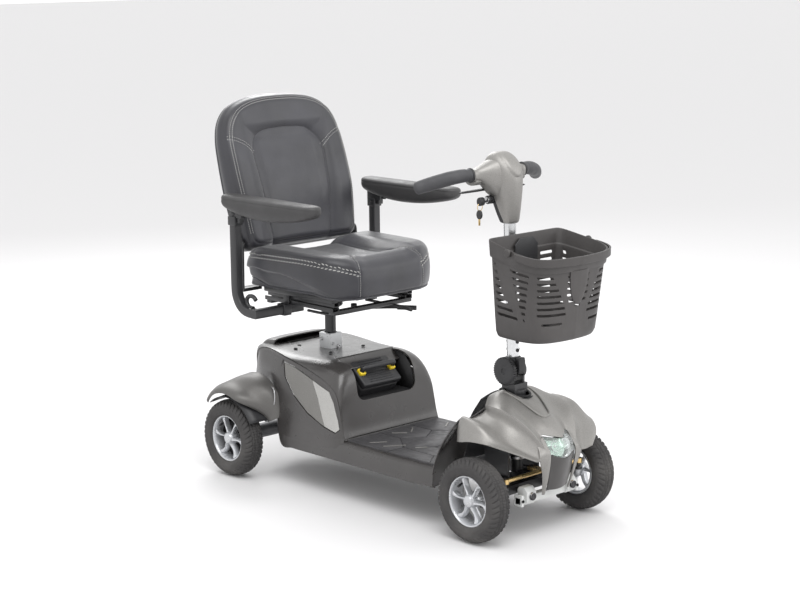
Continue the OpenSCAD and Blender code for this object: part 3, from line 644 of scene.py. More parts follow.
def add_studio():
    """Pale floor and soft light from above."""
    floor = from_faces("studio_floor", [(-40, -40, 0), (40, -40, 0), (40, 40, 0), (-40, 40, 0)],
                       [(0, 1, 2, 3)])
    n = Nodes("studio_floor").set(color=(0.72, 0.715, 0.72), rough=0.75)
    floor.data.materials.append(n.material)
    world = bpy.data.worlds.new("studio")
    world.use_nodes = True
    background = world.node_tree.nodes["Background"]
    background.inputs["Color"].default_value = (1.0, 1.0, 1.0, 1)
    background.inputs["Strength"].default_value = 1.12
    bpy.context.scene.world = world
    add_light("key", "AREA", (1.6, -1.2, 3.6), (0, 0, 0.4), 74, 2.4)
    add_light("fill", "AREA", (3.4, 2.2, 2.2), (0, 0, 0.4), 34, 2.5)
    add_light("back", "AREA", (-2.8, 1.6, 2.8), (0, 0, 0.6), 60, 2.0)
    bpy.context.scene.view_settings.view_transform = "Standard"


# ---------- wheels ----------

def tread_depth(angle, across):
    """Depth in millimetres of the tread grooves at a place on the tyre's crown."""
    wave = 2.2 * math.sin(30 * angle)
    centre = 4.4 * math.exp(-((abs(across) - 6.5 - wave * 0.5) / 1.5) ** 2)
    middle = 4.2 * math.exp(-((abs(across) - 14 + wave * 0.4) / 1.6) ** 2)
    skew = (angle * 44 / (2 * math.pi) + abs(across) * 0.045) % 1.0
    lug = 4.6 * math.exp(-((skew - 0.5) / 0.13) ** 2)
    fade = smoothstep((abs(across) - 13) / 4) * smoothstep((33.5 - abs(across)) / 5)
    sipe = 2.4 * math.exp(-(((angle * 44 / math.pi) % 1.0 - 0.5) / 0.10) ** 2) * (abs(across) < 13)
    return max(centre, middle, lug * fade, sipe)


def tyre_mesh():
    """Pneumatic tyre about the Y axis with a moulded tread."""
    around = 528
    half = [(66, 22), (69, 27.5), (74, 30.5), (82, 32), (90, 31.6), (97, 29.4), (103, 24.6), (107.6, 16),
            (109.6, 7),
            (110, 0)]
    profile = smooth_curve([Vector((r, y, 0)) for r, y in half], 44)
    profile += [Vector((p.x, -p.y, 0)) for p in profile[-2::-1]]
    profile += [Vector((62, -15, 0)), Vector((62, 15, 0))]
    rings = []
    for i in range(around):
        a = 2 * math.pi * i / around
        ring = []
        for p in profile:
            crown = smoothstep((p.x - 92) / 6)
            bead = 0.5 * math.exp(-((p.x - 78) / 1.2) ** 2) - 0.7 * math.exp(-((p.x - 88) / 1.0) ** 2)
            r = p.x - crown * tread_depth(a, p.y)
            y = p.y + math.copysign(bead, p.y)
            ring.append(mm(r * math.sin(a), y, r * math.cos(a)))
        rings.append(ring)
    obj = grid("tyre", rings, closed_rows=True, closed_columns=True)
    return obj


def spoke(angle, outer):
    """One twisted blade of the rim, from the hub out to the barrel."""
    rings = []
    for i in range(15):
        t = i / 14
        r = 11 + t * 50
        swirl = math.radians(10) * math.sin(math.pi * t) + math.radians(6) * t
        waist = 0.45 + 0.55 * abs(2 * t - 1) ** 1.6
        front = (2.4 + 4.6 * abs(2 * t - 0.9) ** 2.4)
        back = 9.5 * waist + 3
        face = outer - 3 - 4 * math.sin(math.pi * t * 0.9)
        section = [(-front, face - 1.2), (-front * 0.5, face), (front * 0.5, face), (front, face - 1.2),
                   (back * 0.75, face - 9), (back, face - 20), (-back * 0.6, face - 20),
                   (-back * 0.35, face - 9)]
        ring = []
        for across, y in section:
            a = angle + swirl + across / r
            ring.append(mm(r * math.sin(a), y, r * math.cos(a)))
        rings.append(ring)
    obj = loft("spoke", rings)
    return subdivided(obj, 1)


def rim_mesh(outer=23):
    """Six-spoked rim about the Y axis with its face towards +Y."""
    place = facing((0, 0, 0), (0, 1, 0))
    barrel = lathe("barrel",
                   [(outer, 66.5), (outer + 1, 65), (outer + 0.6, 63.4), (outer - 2, 62), (outer - 8, 59.5),
                              (-14, 57.5), (-22, 58.5), (-23, 66), (-18, 66.5), (0, 62), (outer - 6, 66.5),
                              (outer, 66.5)], place, 96)
    hub = lathe("hub", [(-22, 0.01), (-22, 21), (4, 20), (outer - 8, 18), (outer - 5, 17),
                        (outer - 3.5, 15.4),
                        (outer - 1, 15), (outer + 0.6, 13.6), (outer + 1.6, 10), (outer + 2.2, 5),
                        (outer + 2.4, 0.01)], place, 48)
    web = lathe("web", [(-8, 18), (-8, 60), (-10, 60), (-10, 18), (-8, 18)], place, 64)
    spokes = [spoke(math.radians(60 * i + 14), outer) for i in range(6)]
    return joined("rim", [barrel, hub] + spokes), web


def valve(a):
    """Tyre valve that stands out of the rim at one angle."""
    start = (52 * math.sin(a), 4, 52 * math.cos(a))
    return lathe("valve", [(-8, 0.01), (-8, 2.6), (10, 2.6), (10, 3.4), (20, 3.4), (21, 2.6), (21, 0.01)],
                 facing(start, (-0.3 * math.sin(a), 1, -0.3 * math.cos(a))), 16)


def add_wheels():
    """Four wheels that share one tyre and one rim."""
    tyre = tyre_mesh()
    rim, web = rim_mesh()
    stem = valve(math.radians(44))
    for end, x, y in (("rear", REAR_X, REAR_Y), ("front", FRONT_X, FRONT_Y)):
        for word, side in SIDES.items():
            place = Matrix.Translation(mm(x, y * side, AXLE_Z))
            if side < 0:
                place = place @ Matrix.Rotation(math.pi, 4, "Z")
            body = f"{end}_wheel_{word}"
            tread = new_object(f"{end}_tyre_{word}_looks", tyre.data)
            tread.matrix_world = place
            finished(tread, "tyre_rubber", body, [f"{end}_tyre_{word}"])
            pieces = (("rim", rim, "silver_rim"), ("web", web, "dark_void"), ("valve", stem, "black_plastic"))
            for kind, source, finish in pieces:
                if kind == "web" and end == "front":
                    continue
                piece = new_object(f"{end}_{kind}_{word}_looks", source.data.copy())
                piece.matrix_world = place
                hides = [f"{end}_rim_{word}"] if kind == "rim" else []
                finished(piece, finish, body, hides)
    for source in (tyre, rim, web, stem):
        bpy.data.objects.remove(source)


# ---------- upholstery ----------

def press_seams(obj, seams, width=2.2, depth=2.6, wide=16, sink=3.0):
    """Presses seam lines into a padded mesh: a narrow groove and a soft valley around it."""
    samples = [p for seam in seams for p in seam]
    tree = KDTree(len(samples))
    for i, p in enumerate(samples):
        tree.insert(p, i)
    tree.balance()
    mesh = obj.data
    moves = []
    for vertex in mesh.vertices:
        d = tree.find(vertex.co)[2] / MM
        if d < wide * 2.5:
            moves.append((vertex.index,
                          depth * math.exp(-(d / width) ** 2) + sink * math.exp(-(d / wide) ** 2)))
    normals = [vertex.normal.copy() for vertex in mesh.vertices]
    for index, amount in moves:
        mesh.vertices[index].co -= normals[index] * amount * MM
    mesh.update()
    return obj


def surface_of(obj):
    """Search tree over an object's own faces."""
    return BVHTree.FromPolygons([v.co for v in obj.data.vertices],
                                [tuple(p.vertices) for p in obj.data.polygons])


def on_surface(line, tree):
    """The line laid onto a surface."""
    return [tree.find_nearest(p)[0] for p in line]


def stitch_run(line, tree, offset, pitch=6.2, length=4.3, radius=0.75, lean=0.0):
    """Vertices and faces of a row of stitches beside a seam line."""
    total = sum((b - a).length for a, b in zip(line, line[1:])) / MM
    count = max(2, int(total / pitch))
    centres = resample(line, count)
    verts, faces = [], []
    for i in range(count):
        along = (centres[min(i + 1, count - 1)] - centres[max(i - 1, 0)]).normalized()
        point, normal, _, _ = tree.find_nearest(centres[i])
        side = normal.cross(along).normalized()
        point, normal, _, _ = tree.find_nearest(centres[i] + side * offset * MM)
        along = (along + side * lean - normal * along.dot(normal)).normalized()
        side = normal.cross(along).normalized()
        start = len(verts)
        for t, r in ((-0.5, 0.25), (-0.36, 0.85), (0, 1.0), (0.36, 0.85), (0.5, 0.25)):
            lift = 0.35 * radius * (1 - (2 * t) ** 2)
            for k in range(6):
                a = math.pi * k / 3
                verts.append(point + (along * (t * length) + side * (r * radius * math.cos(a))
                                      + normal * (lift + r * radius * math.sin(a))) * MM)
        for ring in range(4):
            for k in range(6):
                a = start + ring * 6
                faces.append((a + k, a + (k + 1) % 6, a + 6 + (k + 1) % 6, a + 6 + k))
    return verts, faces


def stitches(name, rows, tree):
    """All stitch rows of one cushion: each row is (line, offset, options)."""
    verts, faces = [], []
    for line, offset, options in rows:
        v, f = stitch_run(line, tree, offset, **options)
        faces += [tuple(i + len(verts) for i in face) for face in f]
        verts += v
    return from_faces(name, verts, faces)


def outline_loop(half_outline, count):
    """Closed even loop out of the +b half of an outline that starts and ends at b = 0."""
    half = smooth_curve([Vector((a, b, 0)) for a, b in half_outline], count // 2 + 1)
    half[0].y = 0
    half[-1].y = 0
    return half + [Vector((p.x, -p.y, 0)) for p in half[-2:0:-1]]


BACK_OUTLINE = [(-19, 0), (-19, 90), (-19, 165), (-15, 188), (4, 202), (60, 210), (140, 217), (230, 218),
                (300, 214),
                (350, 198), (386, 165), (406, 118), (415, 60), (417, 0)]
BACK_PANEL = [(-17, 104), (40, 112), (110, 120), (190, 125), (250, 128), (290, 112), (312, 76), (318, 0)]
BACK_SHOULDER = [(256, 128), (283, 165), (300, 205), (303, 220)]


def back_point(x, y, z):
    """Point in the backrest's own frame, in millimetres, in the shared frame."""
    c, s = math.cos(BACK_LEAN), math.sin(BACK_LEAN)
    return mm(BACK_HINGE[0] + x * c - z * s, y, BACK_HINGE[1] + x * s + z * c)


def back_front_face(z, y):
    """How far the padded front stands forward at a place on the back, before its edge falls away."""
    lumbar = 24 + 9 * math.exp(-((z - 130) / 95) ** 2)
    rim = 15 * smoothstep((abs(y) - 92) / 72) * smoothstep((420 - z) / 60)
    top = 13 * smoothstep((z - 292) / 48)
    return lumbar + max(rim, top) - 7 * smoothstep((z - 220) / 120)


def add_back_cushion():
    """Backrest: a dished centre panel, a raised rim, a stitched edge band and a flat back."""
    around = 520
    loop = outline_loop(BACK_OUTLINE, around)
    centre = Vector((185, 0, 0))
    steps = [i / 100 for i in range(1, 101)]
    rings = []
    for rho in steps:
        ring = []
        for p in loop:
            q = centre.lerp(p, rho)
            edge = (p - q).length
            r = 30
            fall = r - math.sqrt(max(0, r * r - max(0, r - edge) ** 2))
            ring.append(back_point(back_front_face(q.x, q.y) - fall * 0.9, q.y, q.x))
        rings.append(ring)
    for t in (0.06, 0.12, 0.2, 0.3, 0.4, 0.5, 0.6, 0.7, 0.8, 0.88, 0.94, 1.0):
        ring = []
        for p in loop:
            out = (p - centre).normalized() * (5.0 * math.sin(math.pi * t))
            start = back_front_face(p.x, p.y) - 27
            x = start + (-24 - start) * t
            ring.append(back_point(x, p.y + out.y, p.x + out.x))
        rings.append(ring)
    for rho in (0.985, 0.95, 0.85, 0.6, 0.3, 0.05):
        ring = []
        for p in loop:
            q = centre.lerp(p, rho)
            ring.append(back_point(-24 - 4 * smoothstep((1 - rho) / 0.05), q.y, q.x))
        rings.append(ring)
    obj = loft("back_cushion_looks", rings)
    tree = surface_of(obj)

    def line_on_front(half_line, sides=(1, -1), count=160):
        lines = []
        for side in sides:
            points = smooth_curve([Vector((z, y * side, 0)) for z, y in half_line], count)
            lines.append([back_point(back_front_face(p.x, p.y), p.y, p.x) for p in points])
        return [on_surface(line, tree) for line in lines]

    panel = line_on_front(BACK_PANEL)
    shoulder = line_on_front(BACK_SHOULDER, count=60)
    edge = on_surface(rings[93] + [rings[93][0]], tree)
    rear_edge = rings[-7]
    press_seams(obj, panel, width=2.0, depth=3.4, wide=11, sink=3.2)
    press_seams(obj, shoulder, width=1.6, depth=1.8, wide=7, sink=0.8)
    press_seams(obj, [edge], width=1.7, depth=2.2, wide=7, sink=1.0)
    tree = surface_of(obj)
    rows = []
    for line in shoulder:
        rows += [(line, 4.4, {}), (line, -4.4, {})]
    upper_edge = [e for e, p in zip(edge, loop) if p.x > 14]
    rows += [(upper_edge, 4.4, {}), (upper_edge, -4.4, {})]
    thread = stitches("back_stitching_looks", rows, tree)
    welt = tube("back_welt_looks", resample(rear_edge, 260)[:-1], 2.6, closed=True)
    finished(obj, "vinyl", "backrest", ["back_cushion"])
    finished(thread, "thread", "backrest")
    finished(welt, "vinyl", "backrest", ())


SEAT_OUTLINE = [(-452, 0), (-452, 120), (-450, 188), (-438, 210), (-400, 220), (-300, 219), (-200, 213),
                (-140, 199),
                (-100, 168), (-78, 126), (-73, 100), (-71, 0)]


def seat_top(x, y):
    """Height of the cushion's upholstered top, before its edge falls away."""
    front = smoothstep((-92 - x) / 70)
    bolster = 20 * smoothstep((abs(y) - 70) / 70) * (0.55 + 0.45 * front)
    dish = -4 * math.exp(-(y / 90) ** 2) * smoothstep((-150 - x) / 60) * smoothstep((x + 452) / 60)
    roll = 10 * math.exp(-((x + 124) / 34) ** 2) * (1 - smoothstep((abs(y) - 90) / 40))
    rear = -14 * smoothstep((-385 - x) / 60)
    waterfall = -8 * smoothstep((x + 118) / 44)
    return 646 + bolster + dish + roll + rear + waterfall


def seat_bottom(x, y):
    """Height of the cushion's lower edge, which rises towards the rear and drops at the front."""
    front_rise = 546 + 12 * smoothstep((-90 - x) / 80)
    return front_rise + 18 * smoothstep((-330 - x) / 100) * smoothstep(abs(y) / 200)


def add_seat_cushion():
    """Seat cushion: side bolsters, a front roll with its own panel, and creased sides."""
    around = 520
    loop = outline_loop(SEAT_OUTLINE, around)
    centre = Vector((-265, 0, 0))
    rings = []
    top_steps = 100
    for i in range(1, top_steps + 1):
        rho = (i / top_steps) ** 0.85
        ring = []
        for p in loop:
            q = centre.lerp(p, rho)
            edge = (p - q).length
            r = 24
            fall = r - math.sqrt(max(0, r * r - max(0, r - edge) ** 2))
            ring.append(mm(q.x, q.y, seat_top(q.x, q.y) - fall))
        rings.append(ring)
    band = 32
    for i in range(1, band + 1):
        t = i / band
        ring = []
        for p in loop:
            out = (p - centre).normalized()
            side = smoothstep((abs(p.y) - 120) / 60) * smoothstep((-110 - p.x) / 80)
            crease_at = 0.46 + 0.42 * smoothstep((p.x + 300) / 200)
            tuck = 7.5 * side * smoothstep((t - crease_at + 0.06) / 0.12)
            bulge = 4.5 * math.sin(math.pi * min(1, t * 1.05)) - tuck - 5 * smoothstep((t - 0.86) / 0.14)
            start = seat_top(p.x, p.y) - 24
            z = start + (seat_bottom(p.x, p.y) - start) * t
            ring.append(mm(p.x + out.x * bulge, p.y + out.y * bulge, z))
        rings.append(ring)
    for rho in (0.97, 0.9, 0.7, 0.4, 0.1):
        ring = []
        for p in loop:
            q = centre.lerp(p, rho)
            ring.append(mm(q.x, q.y, min(seat_bottom(p.x, p.y), 557)))
        rings.append(ring)
    obj = loft("seat_cushion_looks", rings)
    tree = surface_of(obj)
    panel_line = [(-172, 80, 640), (-150, 92, 656), (-120, 106, 652), (-92, 114, 640), (-74, 118, 618),
                  (-71, 119, 585), (-74, 119, 550)]
    side_line = [(-448, 196, 640), (-438, 212, 640), (-400, 221, 642), (-300, 221, 645), (-205, 214, 646),
                 (-150, 203, 642), (-108, 170, 632), (-76, 119, 616)]
    dish_line = [(-440, 92, 640), (-380, 84, 645), (-300, 74, 645), (-230, 70, 645), (-172, 80, 648)]
    crease_line = [(-440, 222, 604), (-380, 224, 603), (-290, 222, 600), (-200, 216, 588), (-140, 205, 568),
                   (-118, 190, 556)]

    def laid(points, side, count):
        curve = smooth_curve([mm(x, y * side, z) for x, y, z in points], count)
        return on_surface(curve, tree)

    panels = [laid(panel_line, s, 120) for s in (1, -1)]
    sides = [laid(side_line, s, 200) for s in (1, -1)]
    dishes = [laid(dish_line, s, 120) for s in (1, -1)]
    creases = [laid(crease_line, s, 120) for s in (1, -1)]
    front_line = on_surface(smooth_curve([mm(-172, y, 652) for y in (-80, -40, 0, 40, 80)], 80), tree)
    press_seams(obj, panels, width=1.8, depth=2.2, wide=9, sink=1.6)
    press_seams(obj, sides, width=1.9, depth=2.8, wide=8, sink=1.5)
    press_seams(obj, dishes + [front_line], width=2.0, depth=2.6, wide=13, sink=4.0)
    press_seams(obj, creases, width=1.6, depth=1.8, wide=6, sink=0.6)
    tree = surface_of(obj)
    chunky = {"pitch": 11.0, "length": 8.6, "radius": 1.35, "lean": 0.35}
    fine = {"pitch": 6.2, "length": 4.2, "radius": 0.7}
    rows = []
    for line, side in zip(sides, (1, -1)):
        rows += [(line, 5.2, {**chunky, "lean": 0.35 * side}), (line, -5.2, {**chunky, "lean": -0.35 * side})]
    for line in panels:
        rows += [(line, 3.4, fine)]
    thread = stitches("seat_stitching_looks", rows, tree)
    welt_ring = [p for p in rings[top_steps + band - 1]]
    welt = tube("seat_welt_looks", welt_ring, 2.6, closed=True)
    finished(obj, "vinyl", "seat", ["seat_cushion"])
    finished(thread, "thread", "seat")
    finished(welt, "vinyl", "seat", ())


# ---------- rear body ----------

CROWN = [(-542, 300), (-536, 336), (-512, 356), (-440, 360), (-340, 355), (-240, 356), (-172, 358),
         (-134, 350),
         (-113, 330), (-103, 296), (-96, 240), (-89, 190), (-82, 164)]
BODY_EDGE = [(-520, 118, 296), (-508, 126, 330), (-485, 134, 350), (-435, 142, 358), (-345, 156, 349),
             (-255, 164, 335), (-187, 169, 320), (-143, 172, 305), (-115, 174, 286), (-101, 176, 258),
             (-92, 177, 222), (-85, 178, 188), (-77, 178, 163)]
BODY_FOOT = [(-515, 128, 268), (-500, 134, 266), (-468, 145, 264), (-412, 160, 260), (-365, 182, 206),
             (-326, 199, 112), (-270, 200, 107), (-215, 200, 107), (-170, 200, 107), (-138, 200, 107),
             (-112, 200, 107), (-92, 200, 107), (-76, 200, 107)]
LEAF = [(-350, 334), (-300, 328), (-240, 313), (-180, 296), (-143, 286), (-120, 258), (-100, 214), (-93, 190),
        (-103, 181), (-150, 192), (-220, 216), (-290, 256), (-335, 298)]
LEAF_SPLIT = [(-400, 400), (-262, 400), (-214, 300), (-186, 262), (-150, 196), (-128, 150), (-400, 150)]


def across_crown(v):
    """Share of the drop from the crown to the edge, at a share v of the half width."""
    return 0.10 * v * v + 0.90 * v ** 9


def body_lid():
    """Crowned top and front of the rear body as one bent sheet."""
    along = 120
    crown = spline([mm(x, 0, z) for x, z in CROWN], along)
    edge = spline([mm(*p) for p in BODY_EDGE], along)
    rows = []
    for c, e in zip(crown, edge):
        row = []
        for j in range(37):
            v = j / 36
            f = across_crown(v)
            row.append(Vector((c.x + (e.x - c.x) * f, e.y * v, c.z + (e.z - c.z) * f)))
        rows.append(row)
    return mirrored_join("lid", grid("lid", rows))


def body_side():
    """One side wall of the rear body, from the lid's edge down to the skirt, on the rider's left."""
    along = 110
    edge = spline([mm(*p) for p in BODY_EDGE], along)
    foot = spline([mm(*p) for p in BODY_FOOT], along)
    rows = []
    for e, f in zip(edge, foot):
        row = []
        for j in range(31):
            t = j / 30
            p = e.lerp(f, t)
            seam = math.exp(-((p.z / MM - 168) / 1.6) ** 2)
            lip = 2.0 * smoothstep(t / 0.05) - 2.0
            p.y += (3.5 * math.sin(math.pi * t) - 1.1 * seam - lip) * MM
            row.append(p)
        rows.append(row)
    return thick(grid("side", rows), 3.2, 1.0)


def add_body_cover():
    """Rear body with its battery window, top slot, screws, side walls and two-tone side inlays."""
    lid = thick(body_lid(), 3.2, 1.0)
    window = extruded("window", [(-188, 256), (-60, 256), (-60, 400), (-188, 400)], -110, 110)
    window = bevelled(window, 26, 8)
    slot = bevelled(extruded("slot", [(-452, 350), (-436, 350), (-436, 380), (-452, 380)], -62, 62), 2)
    post = extruded("post", oval(POST_X, 0, 26, 26, 48), 340, 380, "z")
    cut(lid, window, slot, post)
    lid = crisp(bevelled(lid, 1.1, 3, 40), 35)
    finished(lid, "satin_black_cover", "chassis", ["body_cover"])
    brow = surface_between("brow",
                           [[(-188, y, 362), (-176, y, 345), (-158, y, 331)] for y in (-106, 0, 106)], 12, 20)
    finished(thick(brow, 2.5), "satin_black_cover", "chassis")
    cheek = [(-188, 250), (-101, 250), (-107, 294), (-118, 326), (-138, 344), (-172, 352), (-188, 351)]
    cheek_l = extruded("cheek_l", cheek, 107, 110)
    cheek_r = extruded("cheek_r", cheek, -110, -107)
    sill = solid_box("sill", (-188, -107, 250), (-102, 107, 253), 1)
    board = solid_box("board", (-236, -150, 190), (-232, 150, 346), 1)
    finished(joined("bay_lining", [cheek_l, cheek_r, sill, board]), "dark_void", "chassis")
    hatch_lines = [[(-524, y * 0.97, rear), (-500, y, top), (-456, y * 1.02, front)]
                   for y, rear, top, front in ((108, 334, 344, 346), (100, 347, 366, 372),
                                               (60, 351, 371, 377),
                                               (0, 352, 372, 378), (-60, 351, 371, 377),
                                               (-100, 347, 366, 372),
                                               (-108, 334, 344, 346))]
    hatch = surface_between("hatch", hatch_lines, 20, 60)
    finished(bevelled(thick(hatch, 4, 0), 1), "satin_black_cover", "chassis")
    screws = [bolt(f"screw_{i}", (x, y, 361), (0, 0, 1), 5.5, 2.2)
              for i, (x, y) in enumerate([(-398, -62), (-398, 62), (-262, -62), (-262, 62), (-372, -98)])]
    finished(joined("cover_screws_looks", screws), "black_plastic", "chassis")
    wall = body_side()
    leaf_cut = extruded("leaf_cut", grown(LEAF, 2.6), 120, 260)
    leaf = extruded("leaf", LEAF, 120, 260)
    inlay = new_object("inlay", wall.data.copy())
    cut(wall, leaf_cut)
    use(inlay, "BOOLEAN", operation="INTERSECT", object=leaf, solver="EXACT")
    bpy.data.objects.remove(leaf)
    inlay.location.y = -1.2 * MM
    strip = new_object("strip", inlay.data.copy())
    strip.location.y = inlay.location.y
    rear_part = extruded("rear_part", LEAF_SPLIT, 100, 280)
    bpy.context.view_layer.update()
    use(inlay, "BOOLEAN", operation="INTERSECT", object=rear_part, solver="EXACT")
    rear_wide = extruded("rear_wide", grown(LEAF_SPLIT, 0.8), 100, 280)
    bpy.context.view_layer.update()
    cut(strip, rear_wide)
    bpy.data.objects.remove(rear_part)
    wall = crisp(bevelled(wall, 0.9, 2, 40), 35)
    inlay = crisp(bevelled(inlay, 1.0, 3, 40), 35)
    strip = crisp(bevelled(strip, 1.0, 3, 40), 35)
    for word, side in SIDES.items():
        for kind, source, finish in (("body_side", wall, "satin_black_cover"),
                                     ("inlay_rear", inlay, "grey_dark"),
                                     ("inlay_front", strip, "pale_cover")):
            piece = new_object(f"{kind}_{word}_looks", source.data.copy())
            piece.matrix_world = source.matrix_world
            if side < 0:
                flip(piece)
            hides = [f"side_panel_{word}"] if kind == "inlay_rear" else []
            finished(piece, finish, "chassis", hides)
    for source in (wall, inlay, strip):
        bpy.data.objects.remove(source)


def add_rear_fenders():
    """Guards over the rear tyres: swept shells with a turned-down outer lip and a pointed front."""
    steps = 60
    rows = []
    for i in range(steps):
        t = i / (steps - 1)
        angle = math.radians(27 + 104 * t)
        front = smoothstep(t / 0.42)
        tail = smoothstep((t - 0.72) / 0.28)
        y_out = 206 + 76 * front - 8 * tail
        y_in = 176 + 6 * tail
        r_in = 150 + 37 * math.sin(math.pi * min(1, t / 0.8)) ** 0.8 - 12 * tail
        lip = 129 + 13 * math.sin(math.pi * t) ** 0.7
        section = [(r_in, y_in), (r_in * 0.6 + (lip + 22) * 0.4, y_in + (y_out - y_in) * 0.35),
                   (lip + 17, y_in + (y_out - y_in) * 0.66), (lip + 8, y_in + (y_out - y_in) * 0.90),
                   (lip, y_out), (lip - 8, y_out + 0.5)]
        row = []
        for p in spline([Vector((r, y, 0)) for r, y in section], 26):
            row.append(mm(REAR_X + p.x * math.cos(angle), p.y, AXLE_Z + p.x * math.sin(angle)))
        rows.append(row)
    shell = crisp(bevelled(thick(grid("fender", rows), 3, 0), 1.2, 3, 40), 35)
    liner_rows = []
    for i in range(24):
        angle = math.radians(30 + 100 * i / 23)
        liner_rows.append([mm(REAR_X + r * math.cos(angle), y, AXLE_Z + r * math.sin(angle))
                           for r, y in ((128, 150), (127, 190), (124, 240), (121, 270))])
    liner = thick(grid("fender_liner", liner_rows), 2)
    for word, side in SIDES.items():
        # The fender shell gets the darkened grey, with its shade painted into the colour
        for kind, source, finish in (("rear_fender", shell, "grey_fender_painted_shade"),
                                     ("rear_arch", liner, "black_plastic")):
            piece = new_object(f"{kind}_{word}_looks", source.data.copy())
            if side < 0:
                flip(piece)
            hides = [f"rear_fender_{word}"] if kind == "rear_fender" else []
            finished(piece, finish, "chassis", hides)
    for source in (shell, liner):
        bpy.data.objects.remove(source)
    arc = [(-374, 186, 262), (-356, 194, 258), (-350, 197, 236), (-357, 196, 212), (-366, 192, 198)]
    for word, side in SIDES.items():
        seam = smooth_curve([mm(x, y * side, z) for x, y,
                             z in ((-356, 158, 341), (-366, 163, 305), (-381, 166, 268))], 24)
        finished(tube(f"side_seam_{word}_looks", seam, 1.0), "dark_void", "chassis")
        line = smooth_curve([mm(x, y * side, z) for x, y, z in arc], 30)
        finished(tube(f"tie_loop_{word}_looks", line, 1.8), "bare_steel", "chassis")


# ---------- deck ----------

def groove(name, a, b, width, low, high):
    """Bar between two places in plan, used to cut or raise a line on the mat."""
    d = (Vector(b) - Vector(a)).normalized()
    n = Vector((-d.y, d.x)) * width / 2
    corners = [Vector(a) + n, Vector(b) + n, Vector(b) - n, Vector(a) - n]
    return extruded(name, [(c.x, c.y) for c in corners], low, high, "z")


def add_deck():
    """Deck with lipped skirts, and a mat of plates divided by grooves and crossed by raised ribs."""
    half = 200
    section = [(-half, 107), (-half, 113), (-half + 3, 132), (-half + 10, 148), (-half + 20, 156),
               (-half + 34, 158.5), (0, 158.5), (half - 34, 158.5), (half - 20, 156), (half - 10, 148),
               (half - 3, 132), (half, 113), (half, 107)]
    rows = []
    for x in (-318, -316, -200, -80, 60, 200, 270, 290, 292):
        squeeze = 1 - 0.03 * smoothstep((x - 200) / 90)
        rows.append([mm(x, y * squeeze, z) for y, z in section])
    tray = crisp(bevelled(thick(grid("tray", rows), 3, 0), 2.5, 4, 20), 30)
    finished(tray, "satin_black_cover", "chassis", ["deck_tray"])
    mat = extruded("mat", [(-70, -172), (262, -172), (284, -150), (284, 150), (262, 172), (-70, 172)], 158,
                   163.6, "z")
    top = 163.8
    lines = [((-70, 60), (20, 60)), ((20, 60), (92, 118)), ((92, 118), (92, 172)), ((92, 118), (210, 118)),
             ((20, 60), (60, 0)), ((92, 118), (150, 56)), ((150, 56), (150, 0)), ((150, 56), (284, 56)),
             ((210, 118), (250, 172)), ((210, 118), (284, 100))]
    cutters = []
    for side in (1, -1):
        for k, (a, b) in enumerate(lines):
            cutters.append(groove(f"groove_{k}", (a[0], a[1] * side), (b[0], b[1] * side), 3.0, 161.4, 170))
    cut(mat, *cutters)
    ribs = []
    for side in (1, -1):
        for a, b in (((-6, 150), (22, 112)), ((48, 150), (84, 100)), ((-36, 40), (-8, 8)),
                     ((120, 100), (140, 74))):
            ribs.append(bevelled(groove("rib", (a[0], a[1] * side), (b[0], b[1] * side), 4.0, 162,
                                        top + 1.6), 0.7))
    mat = crisp(bevelled(mat, 0.7, 2, 40), 35)
    finished(mat, "floor_rubber", "chassis", ["deck_mat"])
    finished(joined("mat_ribs_looks", ribs), "grey_dark", "chassis")
    lip = tube("deck_lip_looks", smooth_curve([mm(-76, y, 160.5) for y in (-178, -90, 0, 90, 178)], 40), 3.2)
    finished(lip, "satin_black_cover", "chassis")


# ---------- front ----------

HOOD_TOP = [
    [(352, 0, 346), (385, 0, 357), (430, 0, 341), (480, 0, 316), (525, 0, 284), (557, 0, 256)],
    [(353, 32, 345), (388, 33, 355), (432, 31, 342), (478, 21, 315), (520, 22, 286), (541, 23, 261)],
    [(358, 62, 340), (394, 66, 350), (435, 66, 334), (480, 62, 305), (512, 52, 280), (526, 46, 263)],
    [(374, 90, 326), (402, 100, 328), (445, 106, 326), (493, 99, 309), (527, 79, 275), (556, 53, 225)],
]
HOOD_FENDER = [
    HOOD_TOP[3],
    [(375, 95, 310), (402, 106, 305), (445, 113, 300), (489, 105, 284), (523, 84, 256), (554, 59, 216)],
    [(366, 133, 296), (397, 143, 298), (443, 145, 290), (488, 136, 264), (522, 109, 235), (556, 76, 211)],
    [(369, 172, 308), (400, 178, 306), (440, 179, 296), (483, 168, 268), (524, 135, 239), (559, 90, 211)],
    [(367, 184, 280), (389, 191, 284), (434, 193, 281), (484, 184, 262), (530, 149, 240), (561, 100, 214)],
    [(370, 190, 247), (392, 201, 252), (432, 204, 260), (487, 192, 258), (536, 157, 241), (565, 108, 217)],
]


